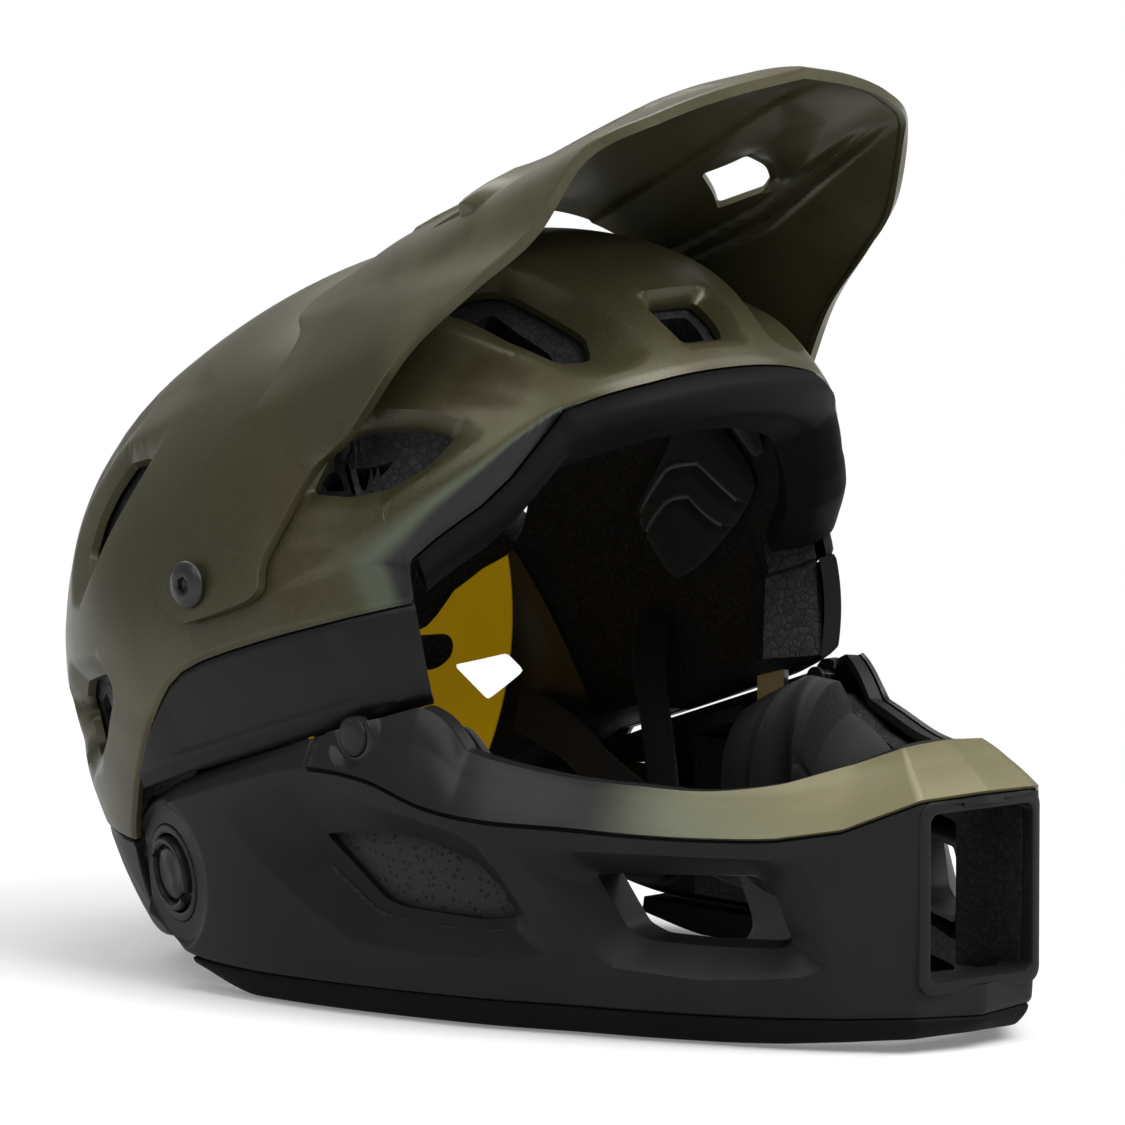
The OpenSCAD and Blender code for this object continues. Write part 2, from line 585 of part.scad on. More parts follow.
// Front edge of the arm, back on the dome
arm_front = [[48, 16.5], [55, 13], [60, 10], [63, 6.5], [71, 8]];
visor_cols = len(visor_rear) - 1;
function visor_rim(u) = let (lift = visor_gap + visor_t, free = len(visor_front))
    u < free
        ? [-visor_front[u][0] * dome_half_w, pivot.y - visor_front[u][1], pivot.z + visor_front[u][2]]
        : dome_at(arm_front[u - free][0], arm_front[u - free][1], lift);
function visor_back(u) = dome_at(visor_rear[u][0], visor_rear[u][1], visor_gap + visor_t);
visor_rims = [for (u = [0:visor_cols]) visor_rim(u)];
visor_backs = [for (u = [0:visor_cols]) visor_back(u)];
// Pulls a point of the visor clear of the dome, so that the arms hug it
function dome_excess(p, grow) = let (
    y = p.y - dome_y, z = p.z - dome_z,
    l = [p.x, y * cos(dome_tilt) - z * sin(dome_tilt), y * sin(dome_tilt) + z * cos(dome_tilt)],
    r = norm(l), need = dome_reach(l / r, grow)
) r > need ? p : tilted(l / r * need);
function visor_pt(u, v) = let (
    a = smooth_row(visor_backs, u), b = smooth_row(visor_rims, u),
    p = mix(a, b, v) + [0, 0, 4 * v * (1 - v) * visor_camber * (1 - clamp01(u / 6))]
) dome_excess(p, visor_gap + visor_t);
visor_camber = 5;
function visor_point(u, v) = let (p = visor_pt(abs(u), v)) [u < 0 ? -p.x : p.x, p.y, p.z];
function visor_normal(u, v) = unit(cross(
    visor_point(u + 0.1, v) - visor_point(u - 0.1, v),
    visor_point(u, min(1, v + 0.05)) - visor_point(u, max(0, v - 0.05))));
visor_slot = [[2.5, 0.62], [2.9, 0.6], [2.95, 0.42], [2.5, 0.36], [2.2, 0.5]];
module visor() {
    us = [for (u = [-visor_cols:0.5:visor_cols]) u];
    vs = [for (k = [0:5]) k / 5];
    color(olive) placed() difference() {
        sheet(
            [for (u = us) [for (v = vs) visor_point(u, v)]],
            [for (u = us) [for (v = vs) visor_point(u, v) - visor_normal(u, v) * visor_t]]
        );
        for (s = [RIGHT, LEFT]) mirror([s == LEFT ? 1 : 0, 0, 0]) {
            hull() for (p = visor_slot, d = [-8, 14])
                translate(visor_point(p[0], p[1]) + visor_normal(p[0], p[1]) * d) cube(0.02, center = true);
            hull() facing(pivot) translate([0, 0, -2]) cylinder(r = bolt_r + 3 + seat_gap / 2, h = 20, $fn = 32);
        }
    }
}

module chin_shell() {
    color(black) placed() difference() {
        sheet(
            [for (t = chin_t) placed_profile(t, chin_profile(t))],
            [for (t = chin_t) placed_profile(t, chin_inside(chin_profile(t)))]
        );
        for (s = [RIGHT, LEFT]) {
            chin_cut(s, grown(mid_recess, 0.02), -4, 12);
            chin_cut(s, rear_vent, -4, 12);
            mirror([s == LEFT ? 1 : 0, 0, 0]) {
                hull() facing(knob_pos, knob_yaw, knob_pitch)
                    translate([0, 0, -14]) cylinder(r = housing_r + seat_gap, h = 30, $fn = 28);
                hull() facing(cap_pos) translate([0, 0, -9]) cylinder(r = cap_r + seat_gap, h = 20, $fn = 20);
            }
        }
        hull() translate([0, -chin_reach, mouth_z]) cube([frame_w, 60, frame_h], center = true);
    }
}

// Painted cover over the upper band of the chin bar
module chin_cover() {
    ts = [for (t = [-cover_end:0.5:cover_end]) t];
    color(olive) placed() sheet(
        [for (t = ts) placed_profile(t, band(t))],
        [for (t = ts) placed_profile(t, shifted(band(t), cover_t))]
    );
}

// The chin foam's inner face, which the cheek pads lie on
function foam_back(t) = let (r = chin_row(t)) max(r[2] + rim_in(t) + 1.5, chin_depth);
module chin_foam() {
    ts = [for (t = [-11:1:-3]) t, for (t = [-2.5:0.5:2.5]) t, for (t = [3:1:11]) t];
    function front(t) = let (
        r = chin_row(t), u = r[2], zu = rim_z(t), zc = min(r[4], zu - 5), w = chin_waist(t) + chin_wall + 1.2
    ) [
        [r[5] + 4, r[6] + 2.5], [w + r[5] * 0.4, mix(r[6], zc, 0.35)], [w + 0.4, zc - 4],
        [u * 0.55 + 5.4, mix(zc, zu, 0.55) - 2.5], [u + 5.6, zu - 5.5]];
    function rear(t) = let (p = front(t), b = foam_back(t)) [
        for (i = [0:len(p) - 1]) [b + 1, p[i][1] + (i == 0 ? 2 : i == len(p) - 1 ? -0.6 : 0)]];
    color(grey) placed() difference() {
        sheet([for (t = ts) placed_profile(t, front(t))], [for (t = ts) placed_profile(t, rear(t))]);
        for (s = [RIGHT, LEFT]) {
            chin_cut(s, grown(mid_recess, 0.06), -4, 60, grown(mid_vent, 0.35));
            chin_cut(s, grown(rear_vent, 0.2), -4, 14);
            mirror([s == LEFT ? 1 : 0, 0, 0]) {
                hull() translate([-dome_half_w - 4, -28, peg_z - 11]) cube([30, 44, 40]);
                hull() translate([-dome_half_w - 4, 10, ridge(40) - 8]) cube([30, 44, 40]);
            }
        }
        hull() translate([0, -chin_reach, mouth_z]) cube([frame_w + 1, 90, frame_h + 1], center = true);
    }
}

// Soft edge under the chin bar
module chin_skirt() {
    ts = [for (t = [-12:1:-4]) t, for (t = [-3:0.5:3]) t, for (t = [4:1:12]) t];
    function outside(t) = let (l = chin_row(t)[5], z = chin_row(t)[6], b = max(0, chin_row(t)[7])) [
        [l + 8.5, b], [l + 4.5, b + 1], [l + 1.6, mix(b, z, 0.55)], [l + 0.8, z - seat_gap]];
    function inside(t) = let (l = chin_row(t)[5], z = chin_row(t)[6], b = max(0, chin_row(t)[7])) [
        [l + 12.5, b], [l + 12.3, b + 1], [l + 12, mix(b, z, 0.55)], [l + 11.5, z - seat_gap]];
    color(black) placed() sheet(
        [for (t = ts) placed_profile(t, outside(t))], [for (t = ts) placed_profile(t, inside(t))]);
}

// Mouth opening and the frame that lines it
mouth_top = 70.5;
mouth_z = mouth_top - mouth_h / 2;
frame_w = 2 * (mouth_half_w + mouth_wall + seat_gap);
frame_h = mouth_h + 2 * (mouth_wall + seat_gap);
frame_depth = 22;
module slab(w, h, r) {
    offset(r = r, $fn = 24) square([w - 2 * r, h - 2 * r], center = true);
}
module mouth_frame() {
    w = frame_w - 2 * seat_gap;
    h = frame_h - 2 * seat_gap;
    color(black) placed() translate([0, -chin_reach - 0.8, mouth_z]) rotate([-90, 0, 0])
        linear_extrude(frame_depth) difference() {
            slab(w, h, 2);
            slab(w - 2 * mouth_wall, h - 2 * mouth_wall, 3);
            translate([0, -h / 2]) square([0.8, 1.2], center = true);
        }
}

// Duct that lines each side vent through the moulding and the foam
duct_depth = 17;
module vent_duct(side) {
    color(black) placed() difference() {
        chin_cut(side, grown(mid_recess, -0.02), 0.6, duct_depth, grown(mid_vent, 0.16));
        chin_cut(side, grown(mid_recess, -0.07), -0.5, duct_depth + 1, grown(mid_vent, 0.02));
    }
}
// Cloth covered panel behind each rear vent of the chin bar
module vent_backing(side) {
    color(cloth) placed() chin_cut(side, grown(rear_vent, 0.12), 10.2, 12);
}

// Cheek pad with a crown and one channel
module cheek_pad(side) {
    steps = 12;
    rows = 8;
    t0 = 5.6;
    t1 = 10.4;
    function swell(i, k) = let (u = abs(2 * i / steps - 1), v = abs(2 * k / rows - 1))
        (1.5 + 14 * pow(max(0, 1 - pow(u, 2.6)), 0.7) * pow(max(0, 1 - pow(v, 2.6)), 0.7))
        * (1 - 0.3 * max(0, 1 - abs(i - 7) * 1.1));
    function z(t, k) = mix(15, min(rim_z(t) - 4, 88), k / rows);
    color(cloth) placed() sheet(
        [for (i = [0:steps]) let (t = mix(t0, t1, i / steps))
            [for (k = [0:rows]) chin_at(side * t, foam_back(t) + 1.8, z(t, k))]],
        [for (i = [0:steps]) let (t = mix(t0, t1, i / steps))
            [for (k = [0:rows]) chin_at(side * t, foam_back(t) + 1.8 + swell(i, k), z(t, k))]]
    );
}

// Release knob and its seat
module knob_housing(side) {
    color(black) sided(side) facing(knob_pos, knob_yaw, knob_pitch) difference() {
        translate([0, 0, -housing_depth]) cylinder(r = housing_r, h = housing_depth, $fn = 64);
        translate([0, 0, -housing_depth + housing_floor]) cylinder(r = knob_r + 0.5, h = housing_depth, $fn = 64);
        translate([0, 0, -20]) cylinder(r = hub_r + run_gap, h = 30, $fn = 48);
        translate([housing_r - 1.2, 0, -0.6]) cube([1.6, 1.2, 1.4], center = true);
    }
}
module release_knob(side) {
    base = -housing_depth + housing_floor + seat_gap;
    color([0.1, 0.1, 0.105]) sided(side) facing(knob_pos, knob_yaw, knob_pitch) difference() {
        union() {
            // Base disc, grip ring, groove and inner disc
            rotate_extrude($fn = 64) polygon([
                [0, base], [knob_r, base], [knob_r, base + knob_h], [knob_r - 1, base + knob_h + knob_sink - 1],
                [knob_r - 2.6, base + knob_h + knob_sink - 1], [knob_r - 2.6, base + knob_h],
                [knob_r - 3.4, base + knob_h], [knob_r - 4, base + knob_h + 1.4], [0, base + knob_h + 1.4]]);
            translate([0, 0, hub_end]) cylinder(r = hub_r, h = base - hub_end + 1, $fn = 48);
        }
        for (q = [55, 235]) rotate([0, 0, q]) translate([knob_r - 1.6, 0, base + knob_h + 1])
            cube([4, 3.4, 4], center = true);
    }
}
module latch_magnet(side) {
    color(steel) sided(side) facing(knob_pos, knob_yaw, knob_pitch)
        translate([0, 0, hub_end - magnet_t]) cylinder(r = magnet_r, h = magnet_t, $fn = 48);
}
// Steel tongue on the helmet, behind the magnet
tongue_x = knob_pos.x - (hub_end - magnet_t) + magnet_r * 0.3 + 0.6;
tongue_front = knob_pos.y - 8;
tongue_foot = dome_at(128, -14, -shell_t + 0.2);
module latch_tongue(side) {
    w = 18;
    color(steel) sided(side) translate([0, 0, knob_z - w / 2]) difference() {
        linear_extrude(w) {
            translate([tongue_x, tongue_front]) square([plate_t, tongue_foot.y - tongue_front]);
            foot_x = min(tongue_foot.x, tongue_x);
            translate([foot_x, tongue_foot.y - plate_t])
                square([max(tongue_foot.x, tongue_x + plate_t) - foot_x, plate_t]);
        }
        translate([tongue_x - 1, tongue_front + 12, w / 2]) rotate([0, 90, 0]) cylinder(r = 1.6, h = 6, $fn = 32);
    }
}

// Front anchor
module front_cap(side) {
    color([0.1, 0.1, 0.105]) sided(side) facing(cap_pos) {
        rivet_end = -hook_depth - plate_t - 1.6;
        rotate_extrude($fn = 64) polygon([
            [0, rivet_end], [rivet_r + 1.4, rivet_end], [rivet_r + 1.4, rivet_end + 1.2], [rivet_r, rivet_end + 1.2],
            [rivet_r, -cap_sink], [cap_r, -cap_sink], [cap_r, 0.4], [cap_r - 0.6, 1], [0, 1]]);
    }
}
module front_hook(side) {
    x = cap_pos.x + hook_depth;
    color(steel) sided(side) translate([x, 0, 0]) rotate([90, 0, 90]) linear_extrude(plate_t) difference() {
        polygon([
            [cap_pos.y - 5, cap_z - 6], [cap_pos.y - 5, cap_z + 2], [cap_pos.y + 4, cap_z + 2],
            [peg_y - 4, peg_z + 4.2], [peg_y + 3.5, peg_z + 4.2], [peg_y + 3.5, peg_z - 5],
            [peg_y - 8, peg_z - 5]]);
        translate([cap_pos.y, cap_z]) circle(r = rivet_r + run_gap, $fn = 48);
        translate([peg_y, peg_z]) circle(r = peg_r + 0.3, $fn = 48);
        translate([peg_y, peg_z - peg_r - 0.3]) square([10, 2 * peg_r + 0.6]);
    }
}
module front_peg(side) {
    color(steel) sided(side) {
        translate([bracket_x, peg_y - bracket_w / 2, peg_z - 4]) cube([plate_t, bracket_w, bracket_top - peg_z + 4]);
        translate([bracket_x - plate_t - 4, peg_y, peg_z]) rotate([0, 90, 0]) cylinder(r = peg_r, h = plate_t + 5, $fn = 48);
    }
}

// Fit system: a band round the nape, its hangers, and the dial that draws it in
module band_outline(grow) {
    scale_y = cradle_rear - cradle_front;
    intersection() {
        translate([0, cradle_front]) resize([2 * (cradle_half_w + grow), 2 * (scale_y + grow)]) circle(r = 10, $fn = 96);
        translate([-150, cradle_front]) square([300, 200]);
    }
}
module cradle() {
    color(black) placed() translate([0, 0, cradle_z - band_h / 2]) linear_extrude(band_h) difference() {
        band_outline(0);
        band_outline(-band_t);
    }
}
module cradle_hangers() {
    back = slip_out - slip_t - seat_gap;
    color(black) placed() for (s = [RIGHT, LEFT]) mirror([s == LEFT ? 1 : 0, 0, 0]) hull() {
        translate([-30, cradle_rear - 3.4, cradle_z - 4]) cube([8, 1.6, 5]);
        for (a = [160, 168], e = [9, 13], g = [back, back - 2])
            translate(dome_at(a, e, g)) cube(0.02, center = true);
    }
}
dial_y = cradle_rear + 1;
module dial_housing() {
    color(black) placed() translate([0, dial_y, cradle_z - 4]) rotate([-90, 0, 0]) difference() {
        translate([0, 0, 0]) cylinder(r = dial_r - 1, h = 4, $fn = 64);
        translate([0, 0, -1]) cylinder(r = spindle_r + run_gap, h = 10, $fn = 48);
    }
}
module fit_dial() {
    color([0.1, 0.1, 0.105]) placed() translate([0, dial_y + 4 + seat_gap, cradle_z - 4]) rotate([-90, 0, 0]) {
        difference() {
            cylinder(r = dial_r, h = dial_h, $fn = 64);
            for (i = [0:11]) rotate([0, 0, i * 30]) translate([dial_r + 0.8, 0, -1])
                cylinder(r = 2, h = dial_h + 2, $fn = 24);
        }
        translate([0, 0, -4 - seat_gap]) cylinder(r = spindle_r, h = 5, $fn = 48);
    }
}

// Strap webbing: a flat strip along a route, with its width along one direction
module strip(route, across) {
    sheet(
        [for (p = route) [for (k = [-1, 0, 1]) p + across * k * strap_w / 2]],
        [for (p = route) [for (k = [-1, 0, 1]) p + across * k * strap_w / 2 + strap_thick]]
    );
}
strap_thick = [strap_t, 0, 0.2];
strap_x = -(cradle_half_w - 11);
strap_join = [strap_x, 24, 42];
// The three runs lie side by side in the divider, this far apart
strap_step = strap_t + 0.3;
strap_top = dome_at(77, 3, foam_in - 0.5) + [strap_t, 0, 0];
strap_back = dome_at(120, 3, slip_out - slip_t - 3);
module strap(side) {
    color(cloth) sided(side) {
        strip([strap_top, strap_top + [4, -2, -14], [strap_x - 9, 34, 64], strap_join + [-1.5 * strap_step, 0, 0]],
            unit([0, 1, 0.2]));
        strip([strap_back, [strap_x - 6, 72, 60], [strap_x, 48, 51], strap_join + [0.5 * strap_step, 1, -1]],
            unit([0, -0.35, 1]));
        // Chin strap: flat against the jaw at its top, and flat under the chin at the buckle
        turns = [for (q = [0:5]) 13.6 * q];
        under = [for (w = turns) [
            [(strap_x - 0.5 * strap_step) * cos(w), 20 - 93 * sin(w), 38 - 24 * sin(w)],
            unit(mix([0, -0.25, 1], unit([93 * cos(w), 60 * sin(w), 0]), ease(w / 55))),
            unit(mix([1, 0, 0], [0, 0, 1], ease(w / 55)))]];
        ends = concat(under, [[[-buckle_w / 2 - seat_gap, buckle_y, 15], [0, 1, 0], [0, 0, 1]]]);
        sheet(
            [for (p = ends) [for (k = [-1, 1]) p[0] + p[1] * k * strap_w / 2]],
            [for (p = ends) [for (k = [-1, 1]) p[0] + p[1] * k * strap_w / 2 + p[2] * strap_t]]
        );
        // Divider below the ear, where the three runs of webbing meet
        translate(strap_join + [-3.4, -11, -13]) cube([6.6, 19, 22]);
    }
}
buckle_w = 34;
buckle_y = -68;
module buckle_socket() {
    color(black) placed() translate([-buckle_w / 2, buckle_y - 9.5, 12]) difference() {
        cube([22, 19, 5]);
        translate([8, 2.5, 1.3]) cube([20, 14, 2.4]);
        translate([9, 6.5, -1]) cube([4, 6, 8]);
    }
}
module buckle_tab() {
    color([0.1, 0.1, 0.105]) placed() translate([buckle_w / 2 - 11.6, buckle_y - 9, 12]) {
        cube([11.6, 18, 5]);
        translate([-12, 3, 1.7]) cube([13, 12, 1.6]);
    }
}

outer_shell();
foam_liner();
slip_liner();
brow_trim();
side_shell(RIGHT);  // side_shell_right
side_shell(LEFT);  // side_shell_left
nape_trim();
brow_pad();
crown_pad();
temple_pad(RIGHT);  // temple_pad_right
temple_pad(LEFT);  // temple_pad_left
visor_nut(RIGHT);  // visor_nut_right
visor_nut(LEFT);  // visor_nut_left
visor_bolt(RIGHT);  // visor_bolt_right
visor_bolt(LEFT);  // visor_bolt_left
visor();
visor_bush(RIGHT);  // visor_bush_right
visor_bush(LEFT);  // visor_bush_left
chin_shell();
chin_cover();
chin_foam();
chin_skirt();
mouth_frame();
vent_duct(RIGHT);  // vent_duct_right
vent_duct(LEFT);  // vent_duct_left
vent_backing(RIGHT);  // vent_backing_right
vent_backing(LEFT);  // vent_backing_left
cheek_pad(RIGHT);  // cheek_pad_right
cheek_pad(LEFT);  // cheek_pad_left
knob_housing(RIGHT);  // knob_housing_right
knob_housing(LEFT);  // knob_housing_left
release_knob(RIGHT);  // release_knob_right
release_knob(LEFT);  // release_knob_left
latch_magnet(RIGHT);  // latch_magnet_right
latch_magnet(LEFT);  // latch_magnet_left
latch_tongue(RIGHT);  // latch_tongue_right
latch_tongue(LEFT);  // latch_tongue_left
front_cap(RIGHT);  // front_cap_right
front_cap(LEFT);  // front_cap_left
front_hook(RIGHT);  // front_hook_right
front_hook(LEFT);  // front_hook_left
front_peg(RIGHT);  // front_peg_right
front_peg(LEFT);  // front_peg_left
cradle();
cradle_hangers();
dial_housing();
fit_dial();
strap(RIGHT);  // strap_right
strap(LEFT);  // strap_left
buckle_socket();
buckle_tab();
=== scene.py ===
# %% [markdown]
# # A full face cycling helmet, dressed in Blender
# The CAD model gives every piece its size and place. This notebook puts finer surfaces and real finishes
# on it: painted shell, visor and chin bar, speckled foam, webbing, padding and metal. Each step says what
# the piece is on a real helmet, how it could be made, and why it is made this way here.

import math

import bpy
import numpy as np
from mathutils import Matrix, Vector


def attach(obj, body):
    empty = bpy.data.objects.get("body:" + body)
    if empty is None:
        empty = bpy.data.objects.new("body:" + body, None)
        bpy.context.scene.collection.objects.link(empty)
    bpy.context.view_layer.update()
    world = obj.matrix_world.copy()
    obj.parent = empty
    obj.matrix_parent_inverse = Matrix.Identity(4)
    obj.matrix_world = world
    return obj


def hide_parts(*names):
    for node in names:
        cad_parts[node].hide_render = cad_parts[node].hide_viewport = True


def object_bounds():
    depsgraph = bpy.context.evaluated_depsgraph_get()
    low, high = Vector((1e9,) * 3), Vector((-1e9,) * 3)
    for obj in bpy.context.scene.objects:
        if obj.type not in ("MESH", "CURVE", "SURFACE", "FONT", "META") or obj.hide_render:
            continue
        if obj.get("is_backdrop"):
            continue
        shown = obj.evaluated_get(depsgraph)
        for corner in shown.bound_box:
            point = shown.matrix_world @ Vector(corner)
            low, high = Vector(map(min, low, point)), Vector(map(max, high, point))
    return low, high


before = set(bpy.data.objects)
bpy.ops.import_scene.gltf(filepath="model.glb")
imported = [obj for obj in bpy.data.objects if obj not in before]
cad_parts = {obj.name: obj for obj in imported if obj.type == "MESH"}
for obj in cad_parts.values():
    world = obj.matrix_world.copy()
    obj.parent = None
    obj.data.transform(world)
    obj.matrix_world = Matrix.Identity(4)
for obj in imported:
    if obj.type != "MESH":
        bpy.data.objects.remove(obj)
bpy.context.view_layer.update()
print("CAD nodes:", len(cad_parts))

# %% [markdown]
# ## The camera first
# The photograph looks from the wearer's right of the front and a little from above, through a long lens
# that shows almost no perspective. The camera stands 5 m away on that line, and its lens is chosen so that
# the helmet fills the square picture as it does in the photograph.

# %% Camera
LOOK_AT = np.array([-0.0058, 0.00122, 0.1282])
AZIMUTH, ELEVATION = math.radians(-42.0), math.radians(7.4)
DISTANCE = 5.0


def placed(name, data):
    """Object made of some data, in the scene."""
    made = bpy.data.objects.new(name, data)
    bpy.context.scene.collection.objects.link(made)
    return made


camera_data = bpy.data.cameras.new("photo_camera")
camera_data.sensor_fit = "HORIZONTAL"
camera_data.sensor_width = 36.0
camera_data.lens = 528.7
camera = placed("photo_camera", camera_data)
back = np.array([
    math.sin(AZIMUTH) * math.cos(ELEVATION),
    -math.cos(AZIMUTH) * math.cos(ELEVATION),
    math.sin(ELEVATION),
])
camera.location = LOOK_AT + back * DISTANCE
camera.rotation_euler = (math.pi / 2 - ELEVATION, 0.0, AZIMUTH)
bpy.context.scene.camera = camera
print("camera", tuple(round(c, 3) for c in camera.location))

# %% [markdown]
# ## The dome in numbers
# Every part of the upper helmet lies on one form: a superellipsoid, which is an ellipsoid with slightly
# fuller shoulders, tilted back about its centre. A point is named by its azimuth (0 at the front, positive
# to the wearer's right), its elevation and its distance from the surface. The values are those of the CAD
# source, in millimetres, so what is built here lands where the solids are.

# %% Dome helpers
HALF_W, FRONT, REAR, TOP, LOW = 106.0, 175.0, 103.0, 122.8, 93.0
DOME_Y, DOME_Z, TILT, POWER = 62.0, 84.0, math.radians(32), 2.2
CHIN_REACH, CHIN_REAR = 185.0, 89.0
SHELL_T, FOAM_T = 2.4, 20.0
FOAM_OUT = -SHELL_T - 0.8
FOAM_IN = FOAM_OUT - FOAM_T
SIDES = (("right", 1.0), ("left", -1.0))

dual = POWER / (POWER - 1)
rear_y = DOME_Y + ((REAR * math.cos(TILT)) ** dual + (TOP * math.sin(TILT)) ** dual) ** (1 / dual)
CENTRE_Y = (CHIN_REACH - rear_y) / 2


def clamp01(t):
    """Limits to 0..1."""
    return np.clip(t, 0.0, 1.0)


def ease(t):
    """Smooth step: 3 t squared less 2 t cubed, between 0 and 1."""
    t = clamp01(t)
    return t * t * (3 - 2 * t)


def mix(a, b, t):
    """a where t is 0, b where t is 1."""
    return a + (b - a) * t


def unit(v):
    """Vectors divided by their own length."""
    v = np.asarray(v, float)
    return v / np.maximum(np.linalg.norm(v, axis=-1, keepdims=True), 1e-9)


def reach(u, grow):
    """Distance to the superellipsoid along directions u: one over the power mean of u over the semi-axes."""
    front = np.where(u[..., 1] < 0, FRONT, REAR)
    height = np.where(u[..., 2] < 0, LOW, TOP)
    axes = zip(range(3), (HALF_W, front, height))
    return sum((np.abs(u[..., k]) / (axis + grow)) ** POWER for k, axis in axes) ** (-1 / POWER)


def tilted(p):
    """Turns points of the level dome back by the tilt and moves them to its centre."""
    c, s = math.cos(TILT), math.sin(TILT)
    y, z = p[..., 1], p[..., 2]
    return np.stack([p[..., 0], y * c + z * s + DOME_Y, -y * s + z * c + DOME_Z], -1)


def untilted(p):
    """Undoes the tilt: points about the dome's centre, with the dome upright."""
    c, s = math.cos(TILT), math.sin(TILT)
    y, z = p[..., 1] - DOME_Y, p[..., 2] - DOME_Z
    return np.stack([p[..., 0], y * c - z * s, y * s + z * c], -1)


def dome_angles(p):
    """Azimuth and elevation of points: the inverse of dome_at."""
    u = unit(untilted(p))
    return np.degrees(np.arctan2(-u[..., 0], -u[..., 1])), np.degrees(np.arcsin(u[..., 2]))


def dome_at(a, e, g=0.0):
    """Point of the dome at azimuth a and elevation e in degrees, g outside its surface."""
    a, e, g = np.broadcast_arrays(np.asarray(a, float), np.asarray(e, float), np.asarray(g, float))
    a, e = np.radians(a), np.radians(e)
    u = np.stack([-np.sin(a) * np.cos(e), -np.cos(a) * np.cos(e), np.sin(e)], -1)
    return tilted(u * reach(u, g)[..., None])


print("centre offset", round(CENTRE_Y, 3), "front of the dome", dome_at(0, 10).round(1))

# %% [markdown]
# ## From a grid of points to a walled piece
# A moulded part is a wall between an outer and an inner skin. Both skins are grids with the same rows and
# columns, so a hole is made by leaving cells out, and the two skins are then joined along every edge that
# belongs to one cell only. Boolean cutters could make the holes as well, but they leave long thin faces that
# shade badly, while here the cells along a hole are first moved onto its outline.

# %% Mesh helpers
def add_mesh(name, points, faces, smooth=40.0):
    """Object from points in millimetres about the shell's line, centred and scaled to metres."""
    points = (np.asarray(points, float).reshape(-1, 3) + [0.0, CENTRE_Y, 0.0]) / 1000.0
    mesh = bpy.data.meshes.new(name)
    mesh.from_pydata(points.tolist(), [], faces)
    mesh.validate()
    mesh.polygons.foreach_set("use_smooth", np.ones(len(mesh.polygons), bool))
    mesh.set_sharp_from_angle(angle=math.radians(smooth))
    mesh.update()
    return placed(name, mesh)


def measured(piece, name, value):
    """Stores a number for each point of a piece, from its place in millimetres about the shell's line."""
    p = np.empty(len(piece.data.vertices) * 3)
    piece.data.vertices.foreach_get("co", p)
    layer = piece.data.attributes.new(name, "FLOAT", "POINT")
    layer.data.foreach_set("value", value(p.reshape(-1, 3) * 1000 - [0, CENTRE_Y, 0]))


def grid_quads(n, m, columns, rows):
    """Corners of the first columns and rows of cells of an n by m grid; the last ones wrap round."""
    i, j = np.meshgrid(np.arange(columns), np.arange(rows), indexing="ij")
    k, l = (i + 1) % n, (j + 1) % m
    return np.stack([i * m + j, k * m + j, k * m + l, i * m + l], -1)


def cell_middles(p):
    """Middle of each cell of a grid."""
    return (p[:-1, :-1] + p[1:, :-1] + p[:-1, 1:] + p[1:, 1:]) / 4


def walled(outer, inner, keep=None, wrap=False, tips=None):
    """Wall between two equal grids: kept cells on both skins, and a strip along each edge used once."""
    n, m = outer.shape[:2]
    quads = grid_quads(n, m, n if wrap else n - 1, m - 1)
    quads = quads.reshape(-1, 4) if keep is None else quads[keep]
    points = np.concatenate([outer.reshape(-1, 3), inner.reshape(-1, 3)])
    tip = 2 * n * m
    if tips is not None:
        last = np.arange(n) * m + m - 1
        fan = np.stack([last, np.roll(last, -1), np.full(n, tip), np.full(n, tip)], -1)
        points = np.concatenate([points, tips])
        quads = np.concatenate([quads, fan])
    back_side = np.where(quads == tip, tip + 1, quads + n * m)[:, ::-1]
    edges = np.stack([quads, np.roll(quads, -1, 1)], -1).reshape(-1, 2)
    edges = edges[edges[:, 0] != edges[:, 1]]
    low, high = np.sort(edges, 1).T
    _, first, count = np.unique(low * (tip + 2) + high, return_index=True, return_counts=True)
    rim = edges[first[count == 1]]
    strip = np.stack([rim[:, 1], rim[:, 0], rim[:, 0] + n * m, rim[:, 1] + n * m], -1)
    faces = np.concatenate([quads, back_side, strip])
    used, faces = np.unique(faces, return_inverse=True)
    faces = faces.reshape(-1, 4)
    triangle = (faces == np.roll(faces, -1, 1)).any(1)
    thin = [list(dict.fromkeys(f)) for f in faces[triangle].tolist()]
    return points[used], faces[~triangle].tolist() + thin


def facing_out(outer, inner):
    """Whether the grid's order makes its faces point away from the inner skin."""
    i, j = outer.shape[0] // 2, outer.shape[1] // 2
    normal = np.cross(outer[i + 1, j] - outer[i, j], outer[i, j + 1] - outer[i, j])
    return np.dot(normal, outer[i, j] - inner[i, j]) > 0


def wall_piece(name, outer, inner, keep=None, wrap=False, tips=None, smooth=40.0):
    """Object of a wall between two skins, turned so that its faces point outwards."""
    if not facing_out(outer, inner):
        outer, inner = outer[::-1], inner[::-1]
        if keep is not None:
            keep = np.roll(keep[::-1], -1, 0) if wrap else keep[::-1]
    return add_mesh(name, *walled(outer, inner, keep, wrap, tips), smooth=smooth)


def rounded(loop, radius=0.9, steps=4):
    """Outline whose corners are parabolas that start a radius away from them, or at 0.4 of a short side."""
    loop = np.asarray(loop, float)
    ends = []
    for towards in (np.roll(loop, 1, 0), np.roll(loop, -1, 0)):
        side = towards - loop
        ends.append(loop + side * np.minimum(radius / np.linalg.norm(side, axis=1, keepdims=True), 0.4))
    t = np.linspace(0, 1, steps)[:, None, None]
    curve = ends[0] * (1 - t) ** 2 + loop * 2 * t * (1 - t) + ends[1] * t * t
    return curve.transpose(1, 0, 2).reshape(-1, 2)


